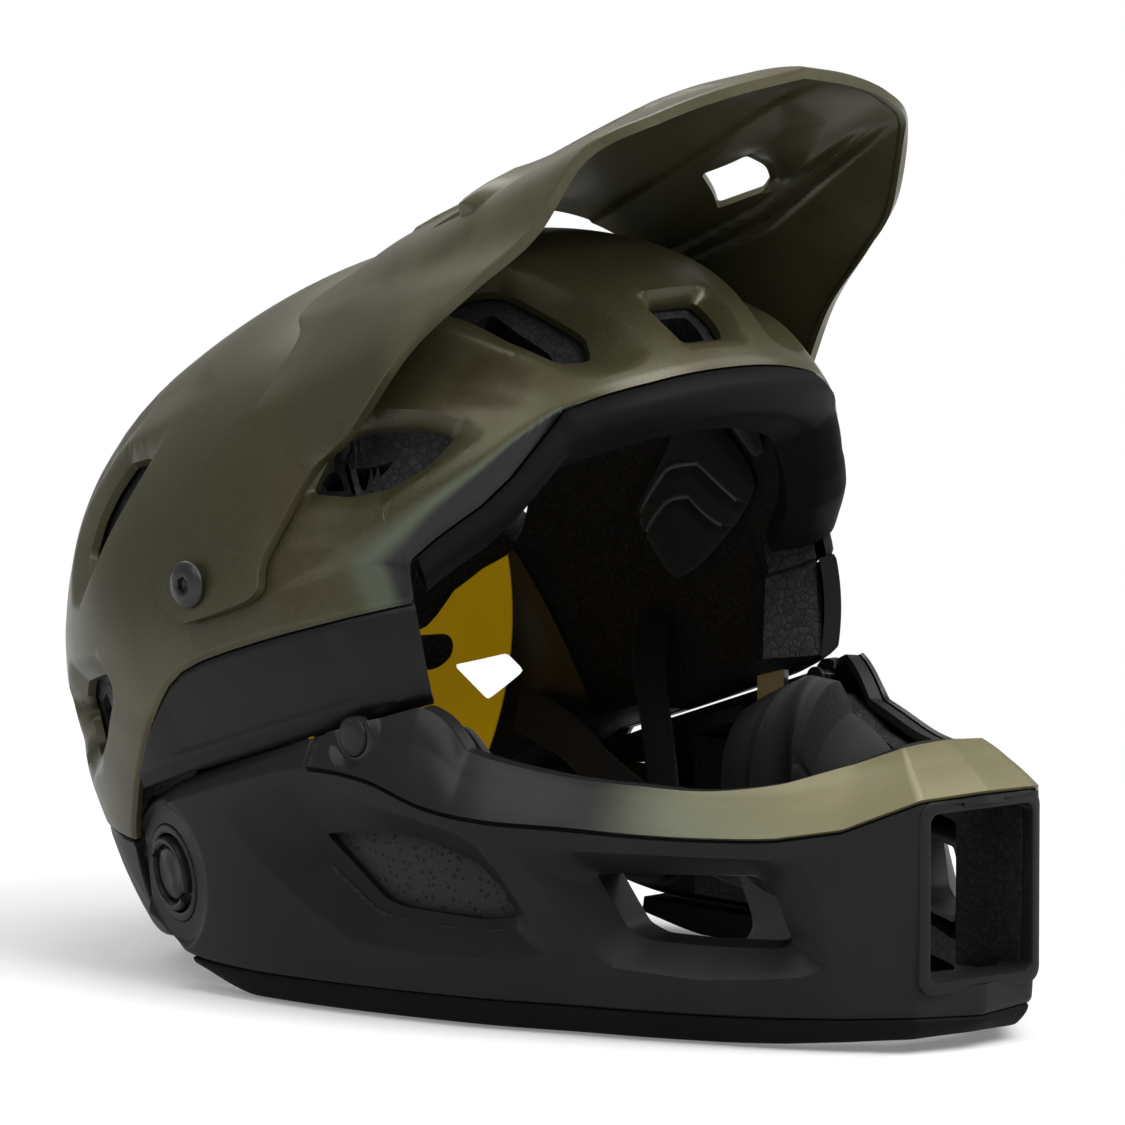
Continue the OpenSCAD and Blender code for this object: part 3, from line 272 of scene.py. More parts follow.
def to_outline(p, loop):
    """Distance from points to a closed outline, negative inside it, and the nearest point on it."""
    p = np.asarray(p, float)
    best = np.full(p.shape[:-1], 1e9)
    near = np.zeros(p.shape)
    inside = np.zeros(p.shape[:-1], bool)
    for a, b in zip(loop, np.roll(loop, -1, 0)):
        t = clamp01(((p - a) @ (b - a)) / max(1e-9, (b - a) @ (b - a)))
        q = a + t[..., None] * (b - a)
        d = np.linalg.norm(p - q, axis=-1)
        near = np.where((d < best)[..., None], q, near)
        best = np.minimum(best, d)
        crosses = (a[1] > p[..., 1]) != (b[1] > p[..., 1])
        rise = b[1] - a[1] if b[1] != a[1] else 1e-9
        edge_x = a[0] + (p[..., 1] - a[1]) / rise * (b[0] - a[0])
        inside ^= crosses & (p[..., 0] < edge_x)
    return np.where(inside, -best, best), near


def to_line(p, line):
    """Distance from points to an open line, and the share of the way along it."""
    best = np.full(p.shape[:-1], 1e9)
    along = np.zeros(p.shape[:-1])
    steps = len(line) - 1
    for k in range(steps):
        a, b = np.asarray(line[k], float), np.asarray(line[k + 1], float)
        t = clamp01(((p - a) @ (b - a)) / ((b - a) @ (b - a)))
        d = np.linalg.norm(p - a - t[..., None] * (b - a), axis=-1)
        along = np.where(d < best, (k + t) / steps, along)
        best = np.minimum(best, d)
    return best, along


def cut_edge(gone):
    """Grid points that touch both a cell left out and a cell kept."""
    touched, rest = (np.zeros((gone.shape[0] + 1, gone.shape[1] + 1), bool) for _ in range(2))
    for di in (0, 1):
        for dj in (0, 1):
            corner = np.s_[di : gone.shape[0] + di, dj : gone.shape[1] + dj]
            touched[corner] |= gone
            rest[corner] |= ~gone
    return touched & rest


def open_holes(p, holes, wrap=False, creases=()):
    """Leaves out cells whose middle is in a hole, and moves points along holes and creases onto their
    outlines."""
    middle = cell_middles(np.concatenate([p, p[:1] + [360, 0]]) if wrap else p)
    keep = np.ones(middle.shape[:2], bool)
    moved = p.copy()
    for number, loop in enumerate(list(creases) + list(holes)):
        gone = to_outline(middle, loop)[0] < 0
        if number >= len(creases):
            keep &= ~gone
        edge = cut_edge(gone)[: p.shape[0]]
        moved[edge] = to_outline(p[edge], loop)[1]
    return moved, keep


def facing(pos, yaw=0.0, pitch=0.0):
    """Place and axes of a part whose +Z faces out on the right: turned by yaw to the rear and by pitch down."""
    y, p = math.radians(-yaw), math.radians(-90 - pitch)
    turn_y = np.array([[math.cos(p), 0, math.sin(p)], [0, 1, 0], [-math.sin(p), 0, math.cos(p)]])
    turn_z = np.array([[math.cos(y), -math.sin(y), 0], [math.sin(y), math.cos(y), 0], [0, 0, 1]])
    return np.asarray(pos, float), turn_z @ turn_y


def off_axis(p, spot, axis):
    """Offset of points square to an axis through a spot, and their height along it."""
    away = p - spot
    along = away @ axis
    return away - along[..., None] * axis, along


def pressed(p, spot, axis, flat_r, end_r, height):
    """Draws points near an axis to the plane at a height on it: fully within flat_r, not at all beyond
    end_r."""
    flat, along = off_axis(p, spot, axis)
    share = ease((end_r - np.linalg.norm(flat, axis=-1)) / (end_r - flat_r)) * (np.abs(along) < 25)
    return p + axis * ((height - along) * share)[..., None]


def cut_round(outer, inner, keep, spot, axis, r):
    """Leaves out the cells within r of an axis, and moves the points along the cut onto the circle."""
    flat, along = off_axis(cell_middles(outer), spot, axis)
    gone = (np.linalg.norm(flat, axis=-1) < r) & (np.abs(along) < 20)
    edge = cut_edge(gone)
    for skin in (outer, inner):
        flat, _ = off_axis(skin[edge], spot, axis)
        skin[edge] += flat * (r / np.linalg.norm(flat, axis=-1) - 1)[:, None]
    return keep & ~gone


print("mesh helpers ready")

# %% [markdown]
# ## Painted shell: the moulded forms
# The real shell is one thin moulding whose vents are not plain holes. Each one lies in a hollow that falls
# from a crisp outer line to the hole, so that air is led in. A hollow is described by two outlines, of its
# rim and of its hole: a point between them sinks by its distance from the rim, as a share of both distances.

# %% Shell outlines, as azimuth and elevation in degrees on the wearer's right
SHELL_EDGE = np.array([
    [0, 7], [10, 7], [19, 7.5], [26, 3.5], [30, 2], [36, 1], [40, 0], [41.5, -5.3], [48.5, -3.6],
    [58.3, -1], [67, 1.4], [73, 3], [79, 4.4], [84, 5.0], [88, 4.5], [91.2, 3.2], [95.3, 1], [100.3, -2],
    [104.9, -4.9], [109, -7.4], [117, -11],
    [125, -6], [135, -1], [150, 4], [180, 8],
])
BEVEL_LINE = np.array([[0, 7], [20, 7.7], [24, 7.3], [28.7, 6.5], [36.3, 5.9], [48, 5.6]])
PORT_TURN = np.array([[41, 5.0], [44.5, 3.0], [48.5, 2.0], [60, 0]])

HOLLOWS = {
    "front": dict(
        depth=5.5,
        rim=[[29, 30], [25, 34.5], [17, 34.5], [12.1, 25.5], [10, 18.2], [8, 12.6], [8, 10.2], [10.5, 9],
            [14, 9.2], [17.5, 11], [20.5, 15.8], [24.5, 22]],
        hole=[[23.6, 30], [18.8, 30.4], [15.6, 28.1], [14.1, 21.5], [12.2, 15.5], [13.2, 12.3], [16.4, 13.7],
            [19.4, 19.2], [21.7, 26]]),
    "side": dict(
        depth=4.0,
        rim=[[53, 14.8], [47.5, 19.8], [43.2, 21.8], [37.5, 20.3], [31.7, 15.3], [26.6, 9.3], [27.4, 8.3],
            [34.5, 7.9], [41.3, 7.4], [46, 8.6]],
        hole=[[49.2, 16.2], [43, 20.4], [38, 18.9], [32.1, 14.5], [29.4, 11], [33.7, 9.5], [39.1, 9.7],
            [44.3, 12.1]]),
    "rear_high": dict(
        depth=3.0,
        rim=[[75.5, 47.3], [77.6, 45.8], [82.4, 42.3], [88.9, 38.8], [95.8, 35], [103, 30.8], [109, 27.5],
            [114, 29], [117, 36], [117, 43], [111, 49.5], [100, 52.5], [84.5, 49.4]],
        hole=[[83.5, 43.8], [89.5, 40], [96.3, 36.3], [103, 32.7], [108.5, 31], [110.8, 37.4], [107.5, 42.8],
            [102.5, 46], [95.8, 48.7], [87, 46.3]]),
    "rear_low": dict(
        depth=5.0,
        rim=[[104.4, 17.6], [101.9, 11.1], [103.1, 8.6], [109.1, 4.6], [117, 2], [131, 4], [138, 14], [134, 20],
            [119, 22]],
        hole=[[106.6, 15.4], [104.8, 11.3], [106.4, 8.6], [112, 5.8], [127, 7.4], [133, 11], [133.6, 17.8],
            [119.5, 18.8]]),
    "exhaust": dict(depth=5.0, rim=[[138, 41], [145, 65], [168, 65], [164, 40]],
        hole=[[142.5, 44.5], [148.5, 61], [163, 61], [159.5, 44]]),
    "nape": dict(depth=4.5, rim=[[146, 32], [148, 17.5], [171, 17.5], [172, 34]],
        hole=[[151, 29.5], [152.6, 20.6], [167.4, 20.6], [167.4, 31.4]]),
}
BROW = dict(
    depth=4.5, rim=[[5.9, 18.4], [-5.9, 18.4], [-4.9, 13], [-4.4, 9.9], [4.4, 9.9], [4.9, 13]],
    hole=[[3.6, 17.4], [-3.6, 17.4], [-3.6, 13.9], [-2.9, 11.4], [2.9, 11.4], [3.6, 13.9]])


def looked_up(table, x):
    """Straight-line interpolation in a two-column table."""
    table = np.asarray(table, float)
    return np.interp(x, table[:, 0], table[:, 1])


def shell_edge(a):
    """Elevation of the painted shell's lower edge at azimuth a."""
    return looked_up(SHELL_EDGE, np.abs(a))


def bevel(a, e):
    """Depth of the bevel along the eye port: 5 mm at the edge, and nothing at its upper and rear lines."""
    a = np.abs(a)
    top = looked_up(BEVEL_LINE, a)
    below = clamp01((top - e) / np.maximum(0.5, top - shell_edge(np.minimum(a, 40))))
    return np.minimum(5.0 * below, looked_up(PORT_TURN, a)) * clamp01((a - 15) / 10)


def between(q, rim, hole, soft=0.1):
    """0 outside the rim and 1 in the hole; between them, the share of the distance from the rim in the sum
    of both."""
    from_rim = -to_outline(q, rim)[0]
    from_hole = to_outline(q, hole)[0]
    t = clamp01(from_rim / np.maximum(1e-6, np.maximum(from_rim, 0) + np.maximum(from_hole, 0)))
    return t * t * (1 + soft) / (t + soft)


def funnel(a, e, rim, hole):
    """The same for outlines in degrees, with azimuth shortened by the cosine of the rim's mean elevation."""
    rim, hole = rounded(rim), rounded(hole)
    k = np.array([math.cos(math.radians(rim[:, 1].mean())), 1.0])
    return between(np.stack([a, e], -1) * k, rim * k, hole * k)


def hollow_depth(a, e):
    """Depth of the shell's hollows: the deepest of all funnels at a point, with the same ones on both sides."""
    side = np.abs(a)
    depth = BROW["depth"] * funnel(a, e, BROW["rim"], BROW["hole"])
    for h in HOLLOWS.values():
        depth = np.maximum(depth, h["depth"] * funnel(side, e, h["rim"], h["hole"]))
    return depth


def dent(a, e, loop, width):
    """1 well inside an outline, falling straight to 0 at it over a width in degrees: a facet with a crease
    round it."""
    loop = rounded(loop)
    return clamp01(-to_outline(np.stack([np.abs(a), e], -1), loop)[0] / width)


# depth in millimetres, width of the slope in degrees, outline
FACETS = [
    (1.6, 5.0, [[20.4, 8.4], [23.8, 15.4], [27.5, 22.5], [34, 21.5], [31.5, 17.6], [26.5, 11.5]]),
    (0.9, 3.0, [[59, 13.6], [52.8, 11.4], [46, 6.2], [47.5, 3], [58, 7.5]]),
    (1.4, 8.0, [[62, 46], [70, 62], [100, 66], [118, 56], [116, 44], [92, 52]]),
    (1.2, 6.0, [[118, 38], [122, 54], [139, 62], [135, 40], [124, 26]]),
]


def shell_form(a, e):
    """How far the shell's outer skin lies inside the dome: vents' hollows, flat facets and the eye port's
    bevel."""
    depth = hollow_depth(a, e)
    for sink, width, loop in FACETS:
        depth = np.maximum(depth, sink * dent(a, e, loop, width))
    return depth + bevel(a, e)


def spread(weights, count):
    """Places from the first to the last key of a table of (key, density), closer together where the
    density is high."""
    keys, density = np.asarray(weights, float).T
    fine = np.linspace(keys[0], keys[-1], 4000)
    total = np.cumsum(np.interp(fine, keys, density))
    return np.interp(np.linspace(total[0], total[-1], count), total, fine)




def both_ways(x):
    """Values that rise from 0, with their negatives before them."""
    return np.concatenate([-x[::-1], x[1:]])


ring = both_ways(spread([
    (0, 1.7), (56, 1.7), (64, 0.8), (74, 0.9), (78, 1.3), (136, 1.2), (142, 0.9), (180, 0.8)], 256))[:-1]
up = spread([(0, 9), (1.2, 3), (8, 2.2), (26, 2.0), (34, 1.2), (50, 1.2), (58, 0.7), (80, 0.7)], 84) / 80
print("shell grid", len(ring), "by", len(up))

# %% Painted shell
NEAR_TOP = 88.0


def up_to(e):
    """The same elevation e for every azimuth."""
    return lambda a: np.full_like(a, e)


def dome_grid(azimuths, low, high, share):
    """Grid of (azimuth, elevation): each column runs from low to high by the given shares."""
    a = np.repeat(azimuths[:, None], len(share), 1)
    e = mix(low(azimuths)[:, None], high(azimuths)[:, None], share[None, :])
    return np.stack([a, e], -1)


def both_sides(loop):
    """The outline and its mirror image on the wearer's left."""
    loop = np.asarray(loop, float)
    return [loop, loop * [-1, 1]]


grid = dome_grid(ring, shell_edge, up_to(NEAR_TOP), up)
holes = [rounded(BROW["hole"])] + [s for h in HOLLOWS.values() for s in both_sides(rounded(h["hole"]))]
rims = [rounded(BROW["rim"])] + [s for h in HOLLOWS.values() for s in both_sides(rounded(h["rim"]))]
grid, keep = open_holes(grid, holes, wrap=True, creases=rims)
sunk = shell_form(grid[..., 0], grid[..., 1])
from_edge = grid[..., 1] - shell_edge(grid[..., 0])
chamfer = np.where(np.abs(grid[..., 0]) > 41, 0.9, 0.5) * clamp01(1 - from_edge / 0.75)
outer = dome_at(grid[..., 0], grid[..., 1], -sunk - chamfer)
inner = dome_at(grid[..., 0], grid[..., 1], -sunk - SHELL_T)
tips = np.array([dome_at(0, 90, 0), dome_at(0, 90, -SHELL_T)])
painted_shell = wall_piece("painted_shell", outer, inner, keep, wrap=True, tips=tips, smooth=38)

# depth of the bevel at which the paint is black, by azimuth
PORT_PAINT = [[0, 0.3], [20, 0.8], [28, 1.8], [36, 3.0], [42, 4.6], [48.5, 7]]


def port_fade(p):
    """Olive, green or black paint on the eye port's bevel, as 0 to 1: its depth over that of PORT_PAINT."""
    a, e = dome_angles(p)
    a = np.abs(a)
    return clamp01((bevel(a, e) - 0.15) / looked_up(PORT_PAINT, a)) * clamp01((50 - a) / 3) * (e < 9)


measured(painted_shell, "port_fade", port_fade)
print("painted shell", len(painted_shell.data.polygons), "faces")

# %% [markdown]
# ## Foam liner
# Under the shell lies 20 mm of expanded bead foam, which takes the impact. It fills the dome from the
# shell's hollows to the inside, where air channels run from front to rear. Its vents are smaller than the
# shell's, so grey foam shows round the edge of each vent, as it does in the photograph.

# %% Foam liner
RIDGE_Z, RIDGE_FALL = 64.2, 0.316
FOAM_EDGE = [[108, -5.6], [116, -6], [122, -5], [128, -6], [134, -9], [145, -9], [160, -5], [180, -4]]
FOAM_HOLES = dict(
    side=[[48.4, 17.4], [45.6, 18.8], [39.6, 15], [36.3, 13.6], [40.4, 13], [42, 12.6]],
    front=[[21, 26.8], [17.4, 26.6], [17, 21.6], [15.4, 15.4], [16.6, 15.2], [18.4, 18.4]],
    rear_low=[[133, 18.3], [118.5, 16.2], [116.5, 10.3], [127, 7.8], [131.5, 9.4]])


def ridge(y):
    """Height of the line where the chin bar meets the shell, falling to the rear."""
    return RIDGE_Z - RIDGE_FALL * (y - DOME_Y)


def ridge_e(a, gap, steps=16):
    """Elevation where the dome crosses that line plus a gap, found by halving an interval."""
    low, high = np.full(np.shape(a), -40.0), np.full(np.shape(a), 20.0)
    for _ in range(steps):
        middle = (low + high) / 2
        p = dome_at(a, middle)
        above = p[..., 2] > ridge(p[..., 1]) + gap
        low, high = np.where(above, low, middle), np.where(above, middle, high)
    return (low + high) / 2


def tucked(a):
    """1 from azimuth 74 to 88, where the foam reaches down behind the side shell, easing to 0 at 70 and 92."""
    return ease((np.abs(a) - 70) / 4) * ease((92 - np.abs(a)) / 4)


def foam_low(a):
    """Lower edge of the foam: the shell's in front, the chin bar's line at the side, its own at the rear."""
    a = np.abs(a)
    side = ridge_e(a, mix(0.8, -2.0, tucked(a)))
    rear = mix(ridge_e(np.full_like(a, 104.0), 0.8), looked_up(FOAM_EDGE, a), clamp01((a - 104) / 4))
    return np.where(a <= 43.5, shell_edge(a) + 0.15, np.where(a <= 104, side, rear))


def channels(a, e):
    """Air channels along the inside: 6 mm deep at 30 mm from the middle on both sides, above 24 degrees."""
    across = np.abs(np.sin(np.radians(a)) * np.cos(np.radians(e))) * HALF_W
    return 6.0 * ease(1.6 - np.abs(across - 30) / 7) * ease((e - 24) / 8)


def about_middle(loop, share):
    """Outline scaled about the middle of its own box."""
    loop = np.asarray(loop, float)
    middle = (loop.max(0) + loop.min(0)) / 2
    return middle + (loop - middle) * share


foam_ring = np.linspace(-180, 180, 321)[:-1]
foam_up = spread([(0, 2), (20, 2), (36, 1.4), (60, 1), (90, 1)], 72) / 90
grid = dome_grid(foam_ring, foam_low, up_to(NEAR_TOP), foam_up)
foam_holes = [about_middle(rounded(BROW["hole"]), 0.7)]
for vent, h in HOLLOWS.items():
    own = FOAM_HOLES.get(vent)
    foam_holes += both_sides(rounded(own) if own else about_middle(rounded(h["hole"]), 0.62))
grid, keep = open_holes(grid, foam_holes, wrap=True)
a, e = grid[..., 0], grid[..., 1]
sink = 1 + np.maximum(hollow_depth(a, e), bevel(a, e) * 1.2)
sink = np.maximum(sink, 1 + 5.5 * tucked(a) * ease((foam_low(a) + 4 - e) / 2))
outer = dome_at(a, e, FOAM_OUT - sink)
inner = dome_at(a, e, FOAM_IN + channels(a, e))
tips = np.array([dome_at(0, 90, FOAM_OUT), dome_at(0, 90, FOAM_IN)])
foam = wall_piece("foam", outer, inner, keep, wrap=True, tips=tips)
print("foam", len(foam.data.polygons), "faces")

# %% [markdown]
# ## Slip liner, brow trim, side shells and nape trim
# These thin mouldings lie on the same dome, so each is a patch of it between two elevations, with its own
# profile. The yellow slip liner turns inside the foam. The brow trim is a soft roll that covers the foam's
# front edge. The side shells and the nape trim are black and close the gap to the chin bar.

# %% Patches of the dome
def patch(name, azimuths, low, high, share, g_out, g_in, holes=(), smooth=40.0):
    """Wall on the dome between two elevations, with its depths given as functions of azimuth, elevation
    and share."""
    grid = dome_grid(azimuths, low, high, share)
    grid, keep = open_holes(grid, holes)
    a, e = grid[..., 0], grid[..., 1]
    k = np.broadcast_to(share[None, :], a.shape)
    return wall_piece(name, dome_at(a, e, g_out(a, e, k)), dome_at(a, e, g_in(a, e, k)), keep, smooth=smooth)


def behind(a):
    """Azimuth past 180 counted back down from it, so that the right side's tables serve both sides."""
    return np.where(a > 180, 360 - a, a)


def round_edges(k, depth=0.5, share=0.06):
    """Falls by a quarter circle's depth within a share of both edges."""
    near = clamp01(1 - np.minimum(k, 1 - k) / share)
    return depth * (1 - np.sqrt(1 - near * near * 0.98))


slip_share = np.linspace(0, 1, 40)
SLIP_TOP = [[105, 33.5], [108, 33], [115, 33], [124, 31.6], [130, 28.6], [133, 27.4], [180, 24]]
slip_holes = [
    rounded([[130.9, 18], [118.8, 15.5], [116.8, 10.5], [126.9, 8.2]]),
    about_middle(rounded(HOLLOWS["nape"]["hole"]), 0.74),
    rounded([[137.5, 27], [129.4, 24.5], [128.8, 22.4], [130.5, 19.8], [134, 18.6], [137.5, 19]], 1.6),
]
slip_holes += [s * [-1, 1] + [360, 0] for s in slip_holes]
slip_liner = patch(
    "inner_liner", np.linspace(105, 255, 161), lambda a: np.maximum(foam_low(behind(a)), -4) + 1,
    lambda a: looked_up(SLIP_TOP, behind(a)), slip_share, lambda a, e, k: FOAM_IN - 0.4 + 0 * a,
    lambda a, e, k: FOAM_IN - 1.4 + 0 * a, slip_holes)

CREASE = [[43, 1.2], [58, 2.4], [75, 3.0], [104.5, 2.2]]


def side_depth(a, e, k):
    """Side shell's form: turned in at the eye port, with its lower edge chamfered and a shallow field in
    its middle."""
    above = e - ridge_e(a, 0.4)
    chamfer = 2.2 * clamp01(1 - above / looked_up(CREASE, a))
    field = 0.7 * clamp01((a - 52) / 3) * clamp01((98 - a) / 8) * ease((above - 3.2) / 1.2)
    return -looked_up(PORT_TURN, a) - chamfer - field - round_edges(k, 0.6, 0.05)


side_share = np.linspace(0, 1, 36)
side_pieces = []
for side, sign in SIDES:
    azimuths = np.linspace(41.4, 108, 160)
    k = np.broadcast_to(side_share[None, :], (len(azimuths), len(side_share)))
    a = azimuths[:, None] + 2.6 * (1 - k) * clamp01((56 - azimuths[:, None]) / 14)
    low = ridge_e(a, 0.4)
    e = mix(low, np.maximum(low + 0.3, shell_edge(a) - 0.35), k)
    outer, inner = dome_at(a, e, side_depth(a, e, k)), dome_at(a, e, -looked_up(PORT_TURN, a) - 4.6)
    mirror = np.array([sign, 1.0, 1.0])
    side_pieces.append(wall_piece("side_panel_" + side, outer * mirror, inner * mirror, smooth=28))

NAPE_EDGE = [[117.6, -12], [119, -14], [122, -18], [125, -22], [129, -24.5], [135, -22], [142, -17],
    [150, -13], [165, -9.5], [180, -8.5]]


def nape_low(a):
    """Lower edge of the nape trim."""
    return looked_up(NAPE_EDGE, behind(a))


def nape_high(a):
    """Upper edge of the nape trim, a fine gap below the shell."""
    return shell_edge(behind(a)) - 0.3


def nape_flare(a, k):
    """Flare of the nape trim: 5 mm at its lower edge, falling as a power of the share of its height."""
    return 5.0 * (1 - k) ** 1.3 * clamp01((nape_high(a) - nape_low(a)) / 16)


nape_trim = patch(
    "nape_band", np.linspace(117.6, 242.4, 220), nape_low, nape_high, np.linspace(0, 1, 30),
    lambda a, e, k: nape_flare(a, k) - round_edges(k, 0.8, 0.08), lambda a, e, k: nape_flare(a, k) - SHELL_T)
print("dome patches", [p.name for p in side_pieces + [slip_liner, nape_trim]])

# %% Brow trim
def along_curve(points, count):
    """Catmull-Rom curve through control points on axis 1, sampled at equal steps of its parameter."""
    points = np.asarray(points, float)
    padded = np.concatenate([2 * points[:, :1] - points[:, 1:2], points, 2 * points[:, -1:] - points[:, -2:-1]], 1)
    t = np.linspace(0, points.shape[1] - 1 - 1e-9, count)
    i = t.astype(int)
    u = (t - i)[None, :, None]
    p0, p1, p2, p3 = (padded[:, i + k] for k in range(4))
    return p1 + 0.5 * u * (p2 - p0 + u * (2 * p0 - 5 * p1 + 4 * p2 - p3 + u * (3 * (p1 - p2) + p3 - p0)))


columns = np.linspace(-39, 39, 150)
edge = shell_edge(columns) - 0.35
g = -bevel(columns, shell_edge(columns))
roll_out = np.stack([dome_at(columns, edge - d, g + s if s is not None else FOAM_IN) for d, s in
    ((0, -0.2), (0.7, 0.5), (1.9, 0.6), (2.9, -1.2), (3.4, -4), (3.55, -9), (3.1, -14), (2.6, None))], 1)
roll_in = np.stack([dome_at(columns, edge, g + s if s is not None else FOAM_IN) for s in
    (-2, -3.5, -5, -7, -9, -12, -15, None)], 1)
brow_roll = wall_piece("brow_roll", along_curve(roll_out, 44), along_curve(roll_in, 44), smooth=60)
print("brow roll", len(brow_roll.data.polygons), "faces")

# %% [markdown]
# ## Visor
# The visor is one thin moulded sheet. Its rear edge lies on the shell, and its front edge stands free, so
# each column is a line from a rear point to a front point, and columns between the named ones follow a
# smooth curve through them. Where a line would cut the dome it is pushed out onto it: so the arms hug the
# shell. The underside carries a border rim, ridges and a scoop behind each square hole.

# %% Visor helpers
PIVOT = dome_at(73, 15)
VISOR_T, VISOR_GAP = 2.5, 1.6
VISOR_REAR = np.array([[0, 51], [12.3, 50], [23.4, 48], [33, 45], [41, 43], [43, 38], [51, 33], [59, 32],
    [69, 28], [77, 23.5], [82, 18], [81, 14], [78, 10]])
VISOR_FRONT = np.array([[0, 155.5, 161], [0.236, 149.5, 156.5], [0.434, 142.5, 150], [0.623, 130.5, 139],
    [0.708, 117.5, 115], [0.774, 98.5, 98], [0.83, 75.5, 77], [0.885, 55.5, 49]])
ARM_FRONT = np.array([[48, 16.5], [55, 13], [60, 10], [63, 6.5], [71, 8]])


def catmull(table, t):
    """Catmull-Rom value of a table's rows at real row numbers, holding its end rows."""
    table = np.asarray(table, float)
    t = np.asarray(t, float)
    i = np.clip(np.floor(t).astype(int), 0, len(table) - 2)
    u = (t - i)[..., None]
    a, b, c, d = (table[np.clip(i + k, 0, len(table) - 1)] for k in (-1, 0, 1, 2))
    return b + (c - a) * u / 2 + (a * 2 - b * 5 + c * 4 - d) * u * u / 2 + (b * 3 - a - c * 3 + d) * u ** 3 / 2


lift = VISOR_GAP + VISOR_T
visor_backs = dome_at(VISOR_REAR[:, 0], VISOR_REAR[:, 1], lift)
free_edge = np.stack([-VISOR_FRONT[:, 0] * HALF_W, PIVOT[1] - VISOR_FRONT[:, 1], PIVOT[2] + VISOR_FRONT[:, 2]], 1)
visor_rims = np.concatenate([free_edge, dome_at(ARM_FRONT[:, 0], ARM_FRONT[:, 1], lift)])


def clear_of_dome(p, grow):
    """Points inside the grown dome are moved out to it along the line from its centre."""
    p_level = untilted(p)
    r = np.linalg.norm(p_level, axis=-1)
    u = p_level / r[..., None]
    need = reach(u, grow)
    return np.where((r > need)[..., None], p, tilted(u * need[..., None]))


def visor_at(u, v):
    """Upper skin: u counts columns from the middle, negative on the left, and v runs from the rear edge to
    the front."""
    u, v = np.broadcast_arrays(np.asarray(u, float), np.asarray(v, float))
    s = np.abs(u)
    p = mix(catmull(visor_backs, s), catmull(visor_rims, s), v[..., None])
    p = p + np.stack([0 * v, 0 * v, 44 * v**2.6 * (1 - v) * ease((2.4 - s) / 1.8)], -1)
    p = clear_of_dome(p, lift)
    return np.stack([np.where(u < 0, -p[..., 0], p[..., 0]), p[..., 1], p[..., 2]], -1)


def visor_normal(u, v):
    """Upward normal of the visor, from differences along u and v."""
    across = visor_at(u + 0.1, v) - visor_at(u - 0.1, v)
    down = visor_at(u, np.minimum(v + 0.05, 1)) - visor_at(u, np.maximum(v - 0.05, 0))
    return unit(np.cross(across, down))


print("visor front", visor_at(0.0, 1.0).round(1), "normal", visor_normal(0.0, 0.5).round(2))

# %% [markdown]
# ## Chin bar
# The chin bar is a horseshoe. Stations along it are counted from the middle of the front, positive on the
# wearer's right, and each has its own share of the width and length, rim, crease and lower edge. A profile
# of (inset, height) points is set up at each station, square to the bar's own line, and a wall between the
# outer profile and the inner one makes the moulding. Its vents are given by station and height.

# %% Chin bar helpers
CHIN_ROWS = np.array([
    [0, 1, 18, 90.5, 77, 1, 10, 4], [0.226, 0.989, 18, 89.5, 76, 2, 11, 3.5], [0.377, 0.927, 16, 84, 67, 4, 10, 2],
    [0.49, 0.872, 12, 79, 64, 6, 9.5, 0.8], [0.604, 0.796, 9, 76, 63, 8, 9, 0], [0.698, 0.719, 8, 76.5, 63, 8, 9, 0],
    [0.774, 0.642, 8, 77.5, 63.5, 8, 9, 0], [0.868, 0.555, 9, 81, 64, 8, 9, 0], [0.915, 0.478, 9, 85.5, 66.5, 7, 9, 0],
    [0.953, 0.394, 5, 90, 73, 6, 9, 0], [0.972, 0.299, 4, 81, 73.5, 4, 9, 0], [0.985, 0.197, 4, 73, 66.5, 4, 9, 0],
    [0.98, 0.0985, 4, 64, 58, 6, 10, 5], [0.945, 0.033, 4, 58.5, 52, 6, 14, 9], [0.9, 0, 4, 55.5, 49, 5, 18, 13],
])
CHIN_LAST, COVER_END = 14, 9.86


def chin_row(t):
    """Station's values: straight between the front three, a smooth curve through the rest."""
    s = np.abs(np.asarray(t, float))
    i = np.clip(np.floor(s).astype(int), 0, CHIN_LAST - 1)
    straight = mix(CHIN_ROWS[i], CHIN_ROWS[i + 1], (s - i)[..., None])
    return np.where((s < 3)[..., None], straight, catmull(CHIN_ROWS, s))


def chin_xy(t):
    """Place of a station on the bar's outer line."""
    r = chin_row(t)
    return np.stack([-np.sign(t) * r[..., 0] * HALF_W, CHIN_REAR - r[..., 1] * (CHIN_REACH + CHIN_REAR)], -1)


def chin_out(t):
    """Outward direction at a station, square to the line through its neighbours."""
    t = np.asarray(t, float)
    d = chin_xy(t + 0.9) - chin_xy(t - 0.9)
    return unit(np.stack([-d[..., 1], d[..., 0]], -1))


def chin_at(t, inset, z, tip=0.56):
    """Point of the bar: so far inside its line, at a height; the rear end leans forward by tip above 44 mm."""
    t, inset, z = np.broadcast_arrays(np.asarray(t, float), np.asarray(inset, float), np.asarray(z, float))
    p = chin_xy(t) - chin_out(t) * inset[..., None]
    lean = clamp01(np.abs(t) - CHIN_LAST + 2) * tip * np.maximum(0, z - 44)
    return np.stack([p[..., 0], p[..., 1] - lean, z], -1)


def rim_z(t):
    """Height of the bar's rim; from station 8 to the rear it follows the line under the shell."""
    r = chin_row(t)
    return mix(r[..., 3], ridge(chin_xy(t)[..., 1]) - 0.1, clamp01((np.abs(t) - 7.5) / 0.78))


def rim_width(t):
    """Width of the bar's rim: 6 mm in front, and 2.6 mm behind station 9.6."""
    return mix(6, 2.6, clamp01(np.abs(t) - 8.6))


def crease_z(t):
    """Height of the crease between the lower wall and the upper band."""
    return np.minimum(chin_row(t)[..., 4], rim_z(t) - 5)


